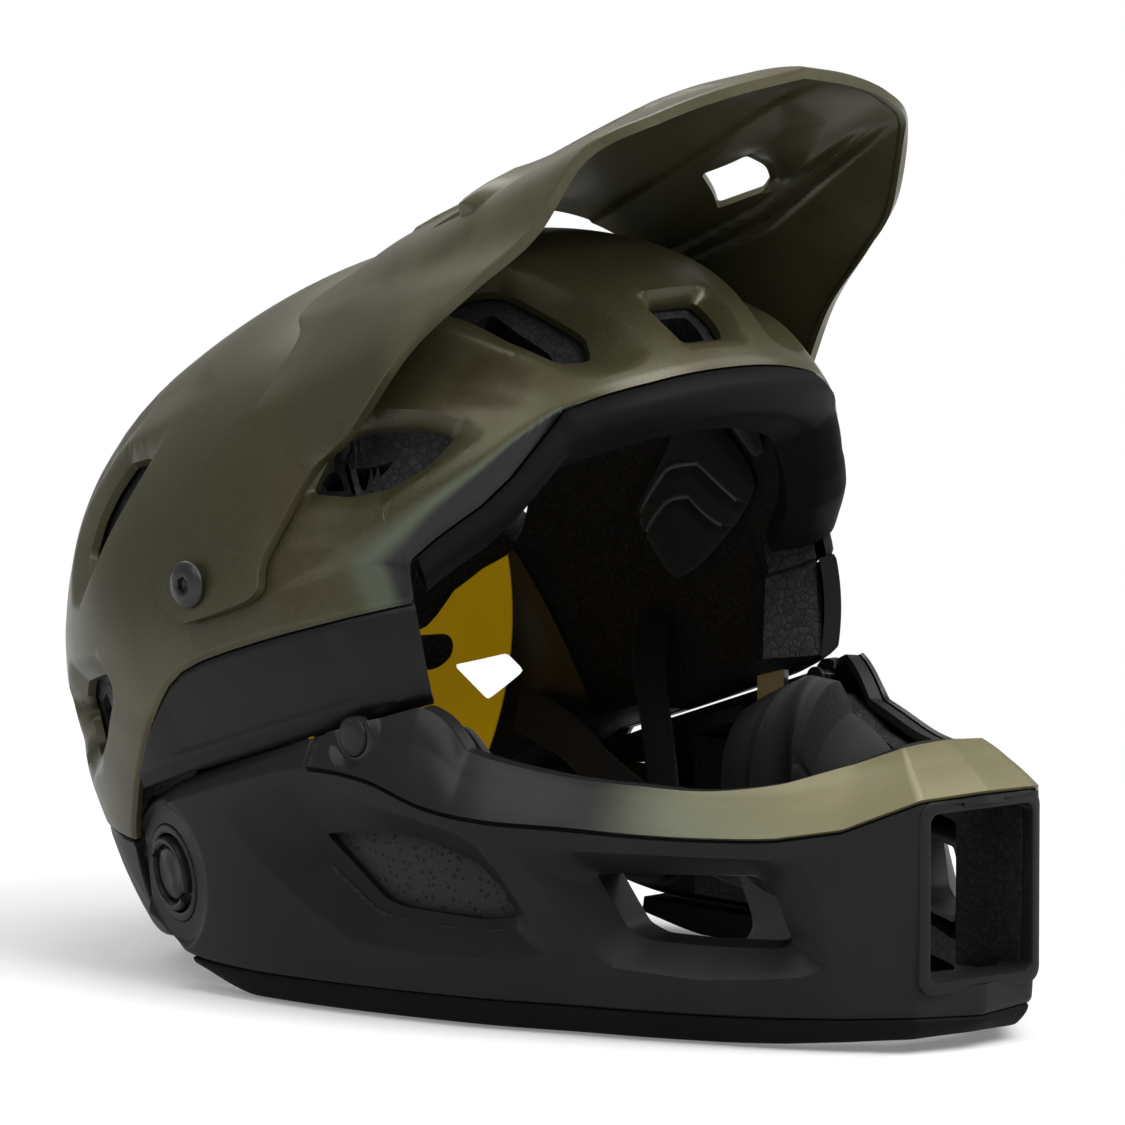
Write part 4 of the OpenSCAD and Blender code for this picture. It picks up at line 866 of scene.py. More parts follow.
def waist(t):
    """Extra inset of the lower wall behind the mid vent, 3.4 mm at the most."""
    s = np.abs(t)
    return 3.4 * ease((s - 5.5) / 2) * ease((11.4 - s) / 2)


fine_t = np.linspace(-CHIN_LAST, CHIN_LAST, 2801)
fine_xy = chin_xy(fine_t)
fine_s = np.concatenate([[0], np.cumsum(np.linalg.norm(np.diff(fine_xy, axis=0), axis=1))])
fine_s -= fine_s[1400]


def chin_s(t):
    """Distance along the bar's line from the middle of its front, for a station number."""
    return np.interp(t, fine_t, fine_s)


print("chin bar length round", round(float(fine_s[-1] - fine_s[0])), "mm")

# %% Visor
SLOT = np.array([[1.92, 0.438], [2.22, 0.544], [2.72, 0.556], [3.07, 0.545], [2.97, 0.381]])
SCOOP = np.array([[0.82, 0.80], [2.02, 0.825], [3.16, 0.6], [3.12, 0.53], [1.9, 0.43]])
SCOOP_LIP = np.array([[2.22, 0.544], [2.72, 0.556], [3.07, 0.545], [3.05, 0.565], [2.72, 0.575], [2.2, 0.56]])
TO_MM = np.array([21.0, 110.0])


def visor_lift(u, v):
    """Rise of the sheet over each scoop, 3.6 mm at the hole's front lip, and of the centre field, 1.2 mm."""
    q = np.stack([np.abs(u), v], -1) * TO_MM
    scoop = 3.6 * between(q, SCOOP * TO_MM, SCOOP_LIP * TO_MM, 0.04)
    field = np.interp(v, [0, 0.5, 1], [2.0, 1.45, 0.9])
    return scoop + 1.2 * ease((field - np.abs(u)) / 0.09) * (1 - clamp01(v * 6 - 5)) * clamp01(v * 6)


def visor_under(u, v):
    """Extra thickness below: a border rim 1.1 mm deep, and two ridges of 2 mm that run forward beside the
    scoop."""
    s = np.abs(u)
    length = np.linalg.norm(visor_at(u, np.ones_like(v)) - visor_at(u, np.zeros_like(v)), axis=-1)
    border = 1.1 * ease((3.6 - (1 - v) * length) / 1.2)
    q = np.stack([s, v], -1) * TO_MM
    extra = border
    for line in ([[3.6, 0.16], [3.4, 0.5], [2.62, 0.88]], [[3.97, 0.2], [3.75, 0.55], [2.8, 0.96]]):
        d, along = to_line(q, np.array(line) * TO_MM)
        extra = np.maximum(extra, 2.0 * clamp01(1 - d / 2.6) * clamp01((1 - along) * 8))
    return extra


visor_cols = spread([
    (-12, 0.8), (-4.2, 0.8), (-4, 1.5), (-1.6, 1.5), (-1.2, 0.8), (1.2, 0.8), (1.6, 1.5), (4, 1.5),
    (4.2, 0.8), (12, 0.8)], 441)
visor_rows = spread([(0, 1.1), (0.38, 1.1), (0.4, 1.5), (0.6, 1.5), (0.7, 1), (0.96, 1), (0.965, 2), (1, 2)], 84)
rear_trim = 0.1 * ease((3.6 - np.abs(visor_cols)) / 0.8)
grid = np.stack(np.broadcast_arrays(visor_cols[:, None], mix(rear_trim[:, None], 1.0, visor_rows[None, :])), -1)
grid, keep = open_holes(grid, both_sides(rounded(SLOT * TO_MM, 1.6) / TO_MM), creases=both_sides(SCOOP))
u, v = grid[..., 0], grid[..., 1]
skin, normal = visor_at(u, v), visor_normal(u, v)
raise_by = visor_lift(u, v)[..., None]
edge_round = 0.5 * clamp01(1 - np.minimum(visor_rows, 1 - visor_rows) / 0.006)[None, :, None]
visor_skin = wall_piece("visor_sheet", skin + normal * (raise_by - edge_round),
    skin + normal * (raise_by - VISOR_T - visor_under(u, v)[..., None]), keep, smooth=32)
print("visor", len(visor_skin.data.polygons), "faces")

# %% [markdown]
# ## The chin bar's moulding, cover and vents
# Below the crease the wall is one smooth curve in each section; above it lies a step down for the painted
# cover. Each side vent is a hollow whose faces fall from a crisp rim to a smaller hole: the mid one is deep
# and goes on as a tunnel through the foam, the rear one is shallow and has cloth behind it.

# %% Chin moulding
MID_RIM = np.array([[6.64, 54.6], [6.4, 56.6], [4.87, 57.3], [2.9, 57.6], [2.6, 56.3], [2.35, 44.6],
    [2.2, 25.5], [2.5, 22.6], [4.05, 20], [5.32, 22.2], [5.61, 25.6]])
MID_HOLE = np.array([[5.66, 49.6], [3.4, 51.3], [3.16, 48.2], [2.86, 31.5], [3.05, 29.6], [4.05, 29.2],
    [4.9, 30], [5.2, 33]])
REAR_RIM = np.array([[11.2, 58], [10.1, 69], [9.5, 69.6], [8.66, 65], [7.45, 60.6], [7.07, 56.6],
    [6.75, 46], [6.12, 23.5], [6.71, 21.6], [8.48, 21.2], [9.35, 22.6], [9.95, 29.9], [10.7, 43.4]])
REAR_HOLE = np.array([[9.85, 53.2], [9.35, 55.2], [8.8, 56.4], [8.1, 55], [7.3, 50.3], [6.95, 44.5],
    [6.68, 34.4], [7.2, 32.4], [8.65, 33.6], [8.94, 35.2]])


def in_mm(loop):
    """Outline of (station, height) as (distance along the bar, height)."""
    loop = np.asarray(loop, float)
    return np.stack([chin_s(loop[:, 0]), loop[:, 1]], 1)


mid_rim, mid_hole, rear_rim, rear_hole = (rounded(in_mm(o), 2.0) for o in (MID_RIM, MID_HOLE, REAR_RIM, REAR_HOLE))


def recess(s, z):
    """Depth of the vents' hollows in the lower wall: 9 mm to the mid hole and 5.5 mm to the rear one."""
    q = np.stack([np.abs(s), z], -1)
    return np.maximum(9.0 * between(q, mid_rim, mid_hole, 0.03), 5.5 * between(q, rear_rim, rear_hole, 0.03))


def wall_inset(t, f):
    """Inset of the lower wall at a share f of its height: the cubic through four profile points at 0, 0.3,
    0.7 and 1."""
    low, w = chin_row(t)[..., 5], waist(t)
    values = (low, low * 0.45 + w, low * 0.1 + w * 0.9, 0 * low)
    nodes = (0.0, 0.3, 0.7, 1.0)
    total = 0 * low
    for i, value in enumerate(values):
        share = np.ones_like(f)
        for j, node in enumerate(nodes):
            if j != i:
                share = share * (f - node) / (nodes[i] - node)
        total = total + value * share
    return total


def wall_share(t, z):
    """Share of the lower wall's own height at which a height lies."""
    low = chin_row(t)[..., 6]
    return (z - low) / (crease_z(t) - 1.2 - low)


def band(t):
    """Three points of the upper band's face, from its crease to the rim, as (inset, height)."""
    u, zu, zc = chin_row(t)[..., 2], rim_z(t), crease_z(t)
    return np.stack([
        np.stack([0 * u, zc + 0.3], -1), np.stack([u * 0.55, mix(chin_row(t)[..., 4], zu, 0.62)], -1),
        np.stack([u - 0.2, zu], -1)], -2)


def inward(p):
    """Unit normal of a profile at each of its points, towards the inside of the bar."""
    ahead = np.concatenate([p[..., 1:, :], p[..., -1:, :]], -2)
    before = np.concatenate([p[..., :1, :], p[..., :-1, :]], -2)
    v = unit(ahead - before)
    return np.stack([v[..., 1], -v[..., 0]], -1)


def subdivided(p, counts):
    """Profile with each of its segments cut into so many equal steps."""
    rows = [p[:, :1]]
    for k, count in enumerate(counts):
        t = np.linspace(0, 1, count + 1)[1:, None]
        rows.append(p[:, k : k + 1] * (1 - t) + p[:, k + 1 : k + 2] * t)
    return np.concatenate(rows, 1)


chin_t = both_ways(spread([
    (0, 1), (2.1, 1), (2.3, 1.5), (5.4, 1.5), (6, 2.0), (11.2, 2.2), (11.6, 1.2), (14, 1)], 330))
wall_f = spread([(0, 1.4), (0.1, 1), (1, 1)], 58)
low_z, top_z = chin_row(chin_t)[:, 6], crease_z(chin_t) - 1.2
grid = np.stack([
    np.broadcast_to(chin_s(chin_t)[:, None], (len(chin_t), len(wall_f))),
    mix(low_z[:, None], top_z[:, None], wall_f[None, :])], -1)
grid, keep = open_holes(
    grid, both_sides(mid_hole) + both_sides(rear_hole), creases=both_sides(mid_rim) + both_sides(rear_rim))
s, z = grid[..., 0], grid[..., 1]
t = np.interp(s, fine_s, fine_t)
f = wall_share(t, z)
inset = wall_inset(t, f) + recess(s, z) + 1.0 * clamp01(1 - f / 0.03) ** 2
TIP, MOULD_T = 0.2, 2.6
lower_out = chin_at(t, inset, z, TIP)
lower_in = chin_at(t, inset + MOULD_T, z, TIP)

covered = clamp01((COVER_END + 0.04 - np.abs(chin_t)) * 40)
under = band(chin_t) + inward(band(chin_t)) * (covered * 1.6)[:, None, None]
lip = np.stack([chin_row(chin_t)[:, 2] + rim_width(chin_t), np.minimum(rim_z(chin_t), under[:, 2, 1] + 0.8)], -1)
upper = np.stack([under[:, 0] - [0, 0.4], under[:, 1], under[:, 2] + [0.4, 0], lip], 1)
upper = subdivided(upper, (8, 8, 4))
upper_in = upper + inward(upper) * MOULD_T
upper_in[:, 0] = upper[:, 0] + [MOULD_T, -2.0]
t2 = np.broadcast_to(chin_t[:, None], upper.shape[:2])
outer = np.concatenate([lower_out, chin_at(t2, upper[..., 0], upper[..., 1], TIP)], 1)
inner = np.concatenate([lower_in, chin_at(t2, upper_in[..., 0], upper_in[..., 1], TIP)], 1)


cap_spot = chin_at(9.2, 3.2, 84.7)
CAP_PLACE, KNOB_PLACE = facing(cap_spot), facing(chin_at(12.5, 5.4, 34.0), 15, 8)
keep = np.concatenate([keep, np.ones((len(chin_t) - 1, upper.shape[1]), bool)], 1)
for place, r, press in ((CAP_PLACE, 6.3, (7.0, 10.5, -1.8)), (KNOB_PLACE, 15.3, (20.5, 24.0, -0.5))):
    for sign in (1.0, -1.0):
        spot, axis = place[0] * [sign, 1, 1], place[1][:, 2] * [sign, 1, 1]
        outer, inner = pressed(outer, spot, axis, *press), pressed(inner, spot, axis, *press[:2], press[2] - MOULD_T)
        keep = cut_round(outer, inner, keep, spot, axis, r)
middle = cell_middles(outer)
keep &= ~((np.abs(middle[..., 0]) < 22.7) & (np.abs(middle[..., 2] - 46.5) < 27.2) & (middle[..., 1] < -60))
chin_mould = wall_piece("chin_moulding", outer, inner, keep, smooth=34)
print("chin moulding", len(chin_mould.data.polygons), "faces")

# %% Chin cover, vent tunnels and cloth backings
cover_t = both_ways(spread([(0, 1), (8.2, 1), (8.7, 3), (COVER_END, 3)], 200))
face = band(cover_t)
profile = subdivided(face, (14, 14))
crown = np.concatenate([np.sin(np.linspace(0, math.pi, 15)), np.sin(np.linspace(0, math.pi, 15))[1:]])
square = inward(profile)
t2 = np.broadcast_to(cover_t[:, None], profile.shape[:2])
top = profile - square * (0.25 * crown)[None, :, None]
bottom = profile + square * 1.2
end_round = (0.6 * clamp01(1 - (COVER_END - np.abs(cover_t)) / 0.1))[:, None]
outer, inner = chin_at(t2, top[..., 0] + end_round, top[..., 1]), chin_at(t2, bottom[..., 0], bottom[..., 1])
keep = np.ones((outer.shape[0] - 1, outer.shape[1] - 1), bool)
for sign in (1.0, -1.0):
    spot, axis = CAP_PLACE[0] * [sign, 1, 1], CAP_PLACE[1][:, 2] * [sign, 1, 1]
    outer, inner = pressed(outer, spot, axis, 7.0, 10.5, 0.15), pressed(inner, spot, axis, 7.0, 10.5, -1.2)
    keep = cut_round(outer, inner, keep, spot, axis, 6.3)
chin_band = wall_piece("chin_band", outer, inner, keep, smooth=30)


def ring_resampled(loop, count):
    """Closed outline at equal steps of its own length, starting where it crosses the line to the right of
    its middle."""
    centre = loop.mean(0)
    start = np.argmin(np.abs(np.arctan2(loop[:, 1] - centre[1], loop[:, 0] - centre[0])))
    loop = np.roll(loop, -start, 0)
    closed = np.concatenate([loop, loop[:1]])
    steps = np.concatenate([[0], np.cumsum(np.linalg.norm(np.diff(closed, axis=0), axis=1))])
    at = np.linspace(0, steps[-1], count, endpoint=False)
    return np.stack([np.interp(at, steps, closed[:, 0]), np.interp(at, steps, closed[:, 1])], -1)


def tunnel(name, loop, sign, depths, scales, wall):
    """Tube through the bar: an outline carried inwards, with its size and wall at each depth."""
    loop = ring_resampled(loop, 120)
    middle_s, middle_z = loop.mean(0)
    s = middle_s + (loop[:, 0] - middle_s)[:, None] * np.asarray(scales)[None, :]
    z = middle_z + (loop[:, 1] - middle_z)[:, None] * np.asarray(scales)[None, :]
    t = np.interp(s, fine_s, fine_t)
    f = wall_share(t, z)
    bore = chin_at(sign * t, wall_inset(t, f) + np.asarray(depths)[None, :], z)
    grow = 1 + wall / np.abs(loop - loop.mean(0)).max()
    s2, z2 = middle_s + (s - middle_s) * grow, middle_z + (z - middle_z) * (1 + wall / 11)
    back = chin_at(sign * np.interp(s2, fine_s, fine_t), wall_inset(t, f) + np.asarray(depths)[None, :] + 0.01, z2)
    return wall_piece(name, bore, back, wrap=True, smooth=40)


tunnels = [tunnel("vent_tunnel_" + n, mid_hole, g, np.linspace(9.4, 21.5, 12), np.linspace(1.0, 0.93, 12), 1.6)
    for n, g in SIDES]

backings = []
for name, sign in SIDES:
    uu, vv = np.meshgrid(np.linspace(-1, 1, 50), np.linspace(-1, 1, 50), indexing="ij")
    disc = np.stack([uu * np.sqrt(1 - vv * vv / 2), vv * np.sqrt(1 - uu * uu / 2)], -1)
    angle = np.arctan2(disc[..., 1], disc[..., 0])
    radius = np.linalg.norm(disc, axis=-1)
    rim = about_middle(rear_hole, 1.14)
    centre = rim.mean(0)
    bearing = np.arctan2(rim[:, 1] - centre[1], rim[:, 0] - centre[0])
    order = np.argsort(bearing)
    far = np.interp(angle, bearing[order], np.linalg.norm(rim - centre, axis=1)[order], period=2 * math.pi)
    s = centre[0] + np.cos(angle) * radius * far
    z = centre[1] + np.sin(angle) * radius * far
    t = np.interp(s, fine_s, fine_t)
    f = wall_share(t, z)
    crown = 1.6 * (1 - radius ** 2)
    base = wall_inset(t, f) + 9.6
    front_skin, rear_skin = chin_at(sign * t, base - crown, z), chin_at(sign * t, base + 1.8, z)
    backings.append(wall_piece("vent_cloth_" + name, front_skin, rear_skin, smooth=60))
print("cover", len(chin_band.data.polygons), "tunnels and backings", len(tunnels) + len(backings))

# %% [markdown]
# ## Skirt and mouth frame
# The helmet stands on the skirt, a soft strip under the moulding. It is a section carried along the bar's
# stations. The mouth frame is a small ring section carried round a rounded rectangle, which gives its lips
# a real radius where a cut-out block would have sharp ones.

# %% Skirt and mouth frame
skirt_t = np.linspace(-12, 12, 260)
r = chin_row(skirt_t)
low, top, bottom = r[:, 5], r[:, 6] - 0.4, np.maximum(0, r[:, 7])
out_points = np.stack([np.stack(c, -1) for c in (
    (low + 10.5, bottom), (low + 8.5, bottom), (low + 6.2, bottom + 0.3), (low + 4.2, bottom + 1.2),
    (low + 1.8, mix(bottom, top, 0.55)), (low + 0.8, mix(bottom, top, 0.86)), (low + 1.2, top))], 1)
in_points = np.stack([np.stack(c, -1) for c in (
    (low + 10.6, bottom + 0.01), (low + 12.4, bottom + 0.1), (low + 12.4, bottom + 0.6), (low + 12.3, bottom + 1.6),
    (low + 12, mix(bottom, top, 0.5)), (low + 11.7, mix(bottom, top, 0.9)), (low + 11.5, top))], 1)
out_points, in_points = along_curve(out_points, 26), along_curve(in_points, 26)
out_points[..., 1] = np.maximum(out_points[..., 1], bottom[:, None])
in_points[..., 1] = np.maximum(in_points[..., 1], bottom[:, None])
t2 = np.broadcast_to(skirt_t[:, None], out_points.shape[:2])
skirt = wall_piece(
    "chin_edge", chin_at(t2, out_points[..., 0], out_points[..., 1]),
    chin_at(t2, in_points[..., 0], in_points[..., 1]), smooth=50)


def ringed(name, grid, smooth=40.0):
    """Closed tube whose grid wraps round both ways, turned so that its faces point outwards."""
    n, m = grid.shape[:2]
    quads = grid_quads(n, m, n, m).reshape(-1, 4)
    p = grid.reshape(-1, 3)
    volume = np.einsum("ij,ij->i", p[quads[:, 0]], np.cross(p[quads[:, 1]], p[quads[:, 2]])).sum()
    volume += np.einsum("ij,ij->i", p[quads[:, 0]], np.cross(p[quads[:, 2]], p[quads[:, 3]])).sum()
    return add_mesh(name, p, quads if volume > 0 else quads[:, ::-1], smooth)


def box_loop(half_w, half_h, r, count=96):
    """Rounded rectangle: a circle of radius r at each corner, joined by straight sides."""
    w = np.linspace(0, 2 * math.pi, count, endpoint=False) + math.pi / count
    x, y = np.cos(w), np.sin(w)
    return np.stack([np.sign(x) * (half_w - r) + r * x, np.sign(y) * (half_h - r) + r * y], -1)


section = [(0.0, 0.9), (0.3, 0.25), (0.9, 0.0), (3.0, 0.15), (3.8, 0.6), (3.8, 1.9), (2.0, 2.3), (2.0, 8.0),
    (2.0, 13.5), (1.0, 14.0),
    (0.0, 13.5), (0.0, 9.0), (0.0, 5.0), (0.0, 2.5)]
rings = []
for grow, depth in section:
    loop = box_loop(20.5 + grow, 25 + grow, 3 + grow * 0.5)
    rings.append(np.stack([loop[:, 0], np.abs(loop[:, 0]) / 8 - CHIN_REACH - 0.8 + depth, 46.5 + loop[:, 1]], -1))
mouth_ring = ringed("mouth_surround", np.stack(rings, 1), 40)
print("skirt", len(skirt.data.polygons), "mouth surround", len(mouth_ring.data.polygons))

# %% [markdown]
# ## Turned parts: bolts, knobs, caps and the fit dial
# Round parts are a profile of (radius, height) turned about an axis that faces out of the helmet. A hex
# socket, grip notches or a scalloped edge come from letting radius or height change with the angle at
# some of the profile's points, so no cutters are needed.

# %% Turned parts
def turned(name, profile, place, sign=1.0, count=144, shape=None, smooth=35.0):
    """Closed solid: a profile from the axis back to the axis, turned about it. shape(radius, height,
    angle) may change it."""
    profile = np.asarray(profile, float)
    w = np.linspace(0, 2 * math.pi, count, endpoint=False)[:, None]
    r = np.broadcast_to(profile[None, :, 0], (count, len(profile)))
    h = np.broadcast_to(profile[None, :, 1], (count, len(profile)))
    if shape is not None:
        r, h = shape(r, h, w)
    local = np.stack([r * np.cos(w), r * np.sin(w), h + 0 * w], -1)
    pos, axes = place
    points = (local @ axes.T + pos) * [sign, 1, 1]
    m = len(profile)
    quads = grid_quads(count, m, count, m - 2)[:, 1:].reshape(-1, 4)
    c = np.arange(count)
    n = (c + 1) % count
    first = np.stack([n * m + 1, c * m + 1, np.zeros(count, int)], -1)
    last = np.stack([c * m + m - 2, n * m + m - 2, np.full(count, m - 1)], -1)
    if sign < 0:
        quads, first, last = quads[:, ::-1], first[:, ::-1], last[:, ::-1]
    used, index = np.unique(np.concatenate([quads.ravel(), first.ravel(), last.ravel()]), return_inverse=True)
    a, b = quads.size, quads.size + first.size
    faces = index[:a].reshape(-1, 4).tolist() + index[a:b].reshape(-1, 3).tolist() + index[b:].reshape(-1, 3).tolist()
    return add_mesh(name, points.reshape(-1, 3)[used], faces, smooth)


def hexagon(r, h, w):
    """Radius of a hexagon where the profile's radius lies from 2.2 to 2.8: r cos 30 over cos of the angle
    within a sixth of a turn."""
    part = (w % (math.pi / 3)) - math.pi / 6
    return np.where((r > 2.2) & (r < 2.8), r * math.cos(math.pi / 6) / np.cos(part), r), h


bolt_profile = [(0, -11.9), (2.0, -11.9), (2.5, -11.4), (2.9, 0), (2.9, 5.4), (6.9, 5.4), (7.2, 5.6),
    (7.2, 6.1), (7.05, 6.4),
    (6.5, 6.9), (5.6, 7.35), (4.4, 7.75), (3.6, 7.9), (3.3, 7.9), (3.1, 7.75), (2.7, 7.55), (2.6, 7.3),
    (2.5, 5.9), (1.6, 5.6), (0.8, 5.45), (0, 5.4)]
bolts = [turned("pivot_bolt_" + n, bolt_profile, facing(PIVOT), g, shape=hexagon) for n, g in SIDES]

BASE = -5.6


def two_notches(r, h, w):
    """Grip ring's height falls to its base in two notches opposite each other, and its inner disc carries
    a shallow swirl."""
    turn = np.abs(((w - math.radians(55)) % math.pi) - math.pi / 2)
    notch = clamp01((turn - (math.pi / 2 - 0.17)) / 0.03)
    ring = (r > 8.8) & (r < 11.6) & (h > BASE + 4.9)
    h = np.where(ring, mix(h, BASE + 4.6, notch), h)
    swirl = 0.35 * np.sin(2 * w + 0.9) * ((r > 2) & (r < 7.4) & (h > 0.2)) * np.sin(np.clip(r / 7.4, 0, 1) * math.pi)
    return r, h + swirl


knob_profile = [(0, -13), (3.6, -13), (4, -12.6), (4, BASE), (11.2, BASE), (11.5, BASE + 0.4), (11.5, 0.6),
    (11.35, 1.2), (11.0, 1.65),
    (10.4, 1.85), (9.8, 1.8), (9.3, 1.5), (8.95, 1.0), (8.9, -0.4), (8.7, -0.6), (8.2, -0.6), (8.1, -0.4),
    (8.05, 0.35), (7.8, 0.65),
    (7.4, 0.8), (6.2, 0.85), (4.6, 0.9), (3.0, 0.95), (1.4, 1.0), (0, 1.0)]
knobs = [turned("grip_knob_" + n, knob_profile, KNOB_PLACE, g, 216, two_notches) for n, g in SIDES]

seat_profile = [(0, -9), (14.7, -9), (15.1, -8.6), (15.1, -0.7), (14.9, -0.25), (14.4, 0.0), (13.0, 0.05),
    (12.5, -0.1), (12.15, -0.6),
    (12.0, -1.4), (12.0, -5.7), (11.7, -6), (4.3, -6), (4.1, -6.4), (4.05, -8.0), (3.4, -8.2), (0, -8.2)]
seats = [turned("knob_seat_" + n, seat_profile, KNOB_PLACE, g) for n, g in SIDES]

cap_profile = [(0, -8.8), (3.7, -8.8), (3.9, -8.6), (3.9, -7.6), (2.5, -7.6), (2.5, -3.2), (5.8, -3.2),
    (6.0, -3.0), (6.0, 0.3), (5.9, 0.7),
    (5.6, 0.95), (5.1, 1.05), (4.9, 0.95), (4.7, 0.95), (4.4, 1.05), (2.5, 1.1), (0, 1.12)]
caps = [turned("anchor_cap_" + n, cap_profile, CAP_PLACE, g) for n, g in SIDES]


def scallops(r, h, w):
    """Twelve finger hollows in the dial's edge, 1.1 mm deep, softened by a power of the cosine."""
    return np.where(r > 11, r - 1.1 * np.clip(np.cos(12 * w), 0, 1) ** 1.5, r), h


dial_profile = [(0, -4.4), (2.3, -4.4), (2.5, -4.2), (2.5, 0), (11.8, 0), (12.6, 0.3), (13, 1.0), (13, 6.6),
    (12.7, 7.4), (12.0, 7.9),
    (11.0, 8.0), (9.4, 7.9), (9.0, 7.5), (8.6, 7.4), (5, 7.5), (0, 7.6)]
dial_axes = (np.array([0, 112 + 1 + 4.4, 30.0]), np.array([[1, 0, 0], [0, 0, 1], [0, -1, 0]], float))
dial = turned("grip_dial", dial_profile, dial_axes, 1.0, 240, scallops)
print("turned parts", len(bolts + knobs + seats + caps) + 1)

# %% [markdown]
# ## Pads
# The pads are laminated foam in brushed cloth, held by hook tape. Each has a crown, drawn-in edges and
# rounded corners. A sewn channel is a groove along a line, and the temple pads carry two rows of piping.

# %% Pads
def pillow(p, q):
    """Crown of a pad on -1..1 in both ways: product of (1 less the cube of the distance from the middle)
    to the power 0.6."""
    return (np.maximum(0, 1 - np.abs(p) ** 3) * np.maximum(0, 1 - np.abs(q) ** 3)) ** 0.6


def soft_corners(p, q, c=0.1):
    """Square turned into a rounded one: each coordinate shrinks by c times the fourth power of the other."""
    return p * (1 - c * q ** 4), q * (1 - c * p ** 4)


def groove(distance, width, depth):
    """Round-bottomed groove about a line."""
    return depth * np.exp(-((distance / width) ** 2))


def dome_pad(name, middle, half, thick, seat, lines=(), count=(90, 60), sign=1.0, low=None):
    """Pad inside the foam: a patch about its middle azimuth and elevation with a crown, and grooves along
    lines of (p, q)."""
    p, q = np.meshgrid(np.linspace(-1, 1, count[0]), np.linspace(-1, 1, count[1]), indexing="ij")
    x, y = soft_corners(p, q)
    a = middle[0] + x * half[0]
    e = middle[1] + y * half[1] + (low(a) if low is not None else 0)
    rise = thick * (0.25 + 0.75 * pillow(p, q))
    for line in lines:
        rise = rise - groove(to_line(np.stack([p, q], -1), line)[0], 0.05, 1.5)
    outer = dome_at(a, e, FOAM_IN - seat - rise) * [sign, 1, 1]
    inner = dome_at(a, e, FOAM_IN - seat) * [sign, 1, 1]
    piece = wall_piece(name, outer, inner, smooth=70)
    return piece, outer


brow_cushion, _ = dome_pad(
    "brow_cushion", (0, 5.5), (26, 3.5), 7, 1.5, [[[-0.33, -1], [-0.33, 1]], [[0.33, -1], [0.33, 1]]],
    (150, 44), low=shell_edge)
crown_cushion, _ = dome_pad("crown_cushion", (0, 50), (13, 17), 7, 1.1, [[[-1, 0], [1, 0]]], (60, 110))
PIPING_R = 0.8
temple_pads, pipings = [], []
for name, sign in SIDES:
    lines = [[[-0.72, -1], [-0.6, 0.2], [-0.1, 0.74], [1, 0.8]], [[-0.3, -1], [-0.2, 0], [0.2, 0.36], [1, 0.4]]]
    piece, top = dome_pad("temple_cushion_" + name, (49, 14.8), (17, 9.2), 7, 1.3, lines, (90, 80), sign)
    temple_pads.append(piece)
    for number, line in enumerate(lines):
        route = np.asarray(line, float)
        at = np.linspace(0.06, 0.94, 90) * (len(route) - 1)
        pq = catmull(route, at)
        i, j = (pq[:, 0] + 1) / 2 * 89, (pq[:, 1] + 1) / 2 * 79
        i0, j0 = np.clip(i.astype(int), 0, 88), np.clip(j.astype(int), 0, 78)
        fi, fj = (i - i0)[:, None], (j - j0)[:, None]
        path = mix(mix(top[i0, j0], top[i0 + 1, j0], fi), mix(top[i0, j0 + 1], top[i0 + 1, j0 + 1], fi), fj)
        tangent = unit(np.gradient(path, axis=0))
        side = unit(np.cross(tangent, path - [0, DOME_Y, DOME_Z]))
        up_way = np.cross(side, tangent)
        w = np.linspace(0, 2 * math.pi, 13)[None, :-1, None]
        tube = path[:, None] + PIPING_R * (side[:, None] * np.cos(w) + up_way[:, None] * np.sin(w))
        ends = path[[0, -1]]
        points = np.concatenate([tube.reshape(-1, 3), ends])
        n, m = tube.shape[:2]
        ii, jj = np.meshgrid(np.arange(n - 1), np.arange(m), indexing="ij")
        kk = (jj + 1) % m
        quads = np.stack([ii * m + jj, ii * m + kk, (ii + 1) * m + kk, (ii + 1) * m + jj], -1).reshape(-1, 4)
        c, d = np.arange(m), (np.arange(m) + 1) % m
        start = np.stack([d, c, np.full(m, n * m)], -1)
        end = np.stack([(n - 1) * m + c, (n - 1) * m + d, np.full(m, n * m + 1)], -1)
        p0, p1, p2 = (points[quads[:, k]] for k in range(3))
        turned_in = np.einsum("ij,ij->i", np.cross(p1 - p0, p2 - p0), p0 - np.repeat(path[:-1], m, 0)).mean() < 0
        faces = quads.tolist() + start.tolist() + end.tolist()
        faces = [f[::-1] for f in faces] if turned_in else faces
        pipings.append(add_mesh("temple_piping_%s_%d" % (name, number + 1), points, faces, 60))


def foam_back(t):
    """Inset of the chin foam's inner face."""
    return np.maximum(chin_row(t)[..., 2] + rim_width(t) + 1.5, 19)


cheek_pads = []
for name, sign in SIDES:
    p, q = np.meshgrid(np.linspace(-1, 1, 130), np.linspace(-1, 1, 100), indexing="ij")
    x, y = soft_corners(p, q, 0.13)
    t = 8.0 + 2.4 * x
    z = mix(15, np.minimum(rim_z(t) - 4, 88), (y + 1) / 2)
    rise = 1.5 + 13.6 * (np.maximum(0, 1 - np.abs(p) ** 2.6) * np.maximum(0, 1 - np.abs(q) ** 2.6)) ** 0.7
    rise = rise * (1 - 0.26 * np.exp(-(((p - 0.16 - 0.12 * q) / 0.09) ** 2)))
    for line in ([[-1, 0.42], [0.1, 0.34]], [[-0.62, -1], [-0.5, 0.4]], [[0.62, -1], [0.55, 1]]):
        rise = rise - groove(to_line(np.stack([p, q], -1), line)[0], 0.035, 1.1) * pillow(p, q)
    outer, inner = chin_at(sign * t, foam_back(t) + 1.8 + rise, z), chin_at(sign * t, foam_back(t) + 1.8, z)
    piece = wall_piece("cheek_cushion_" + name, outer, inner, smooth=70)
    cheek_pads.append(piece)
print("pads", len(temple_pads + cheek_pads) + 2, "pipings", len(pipings))

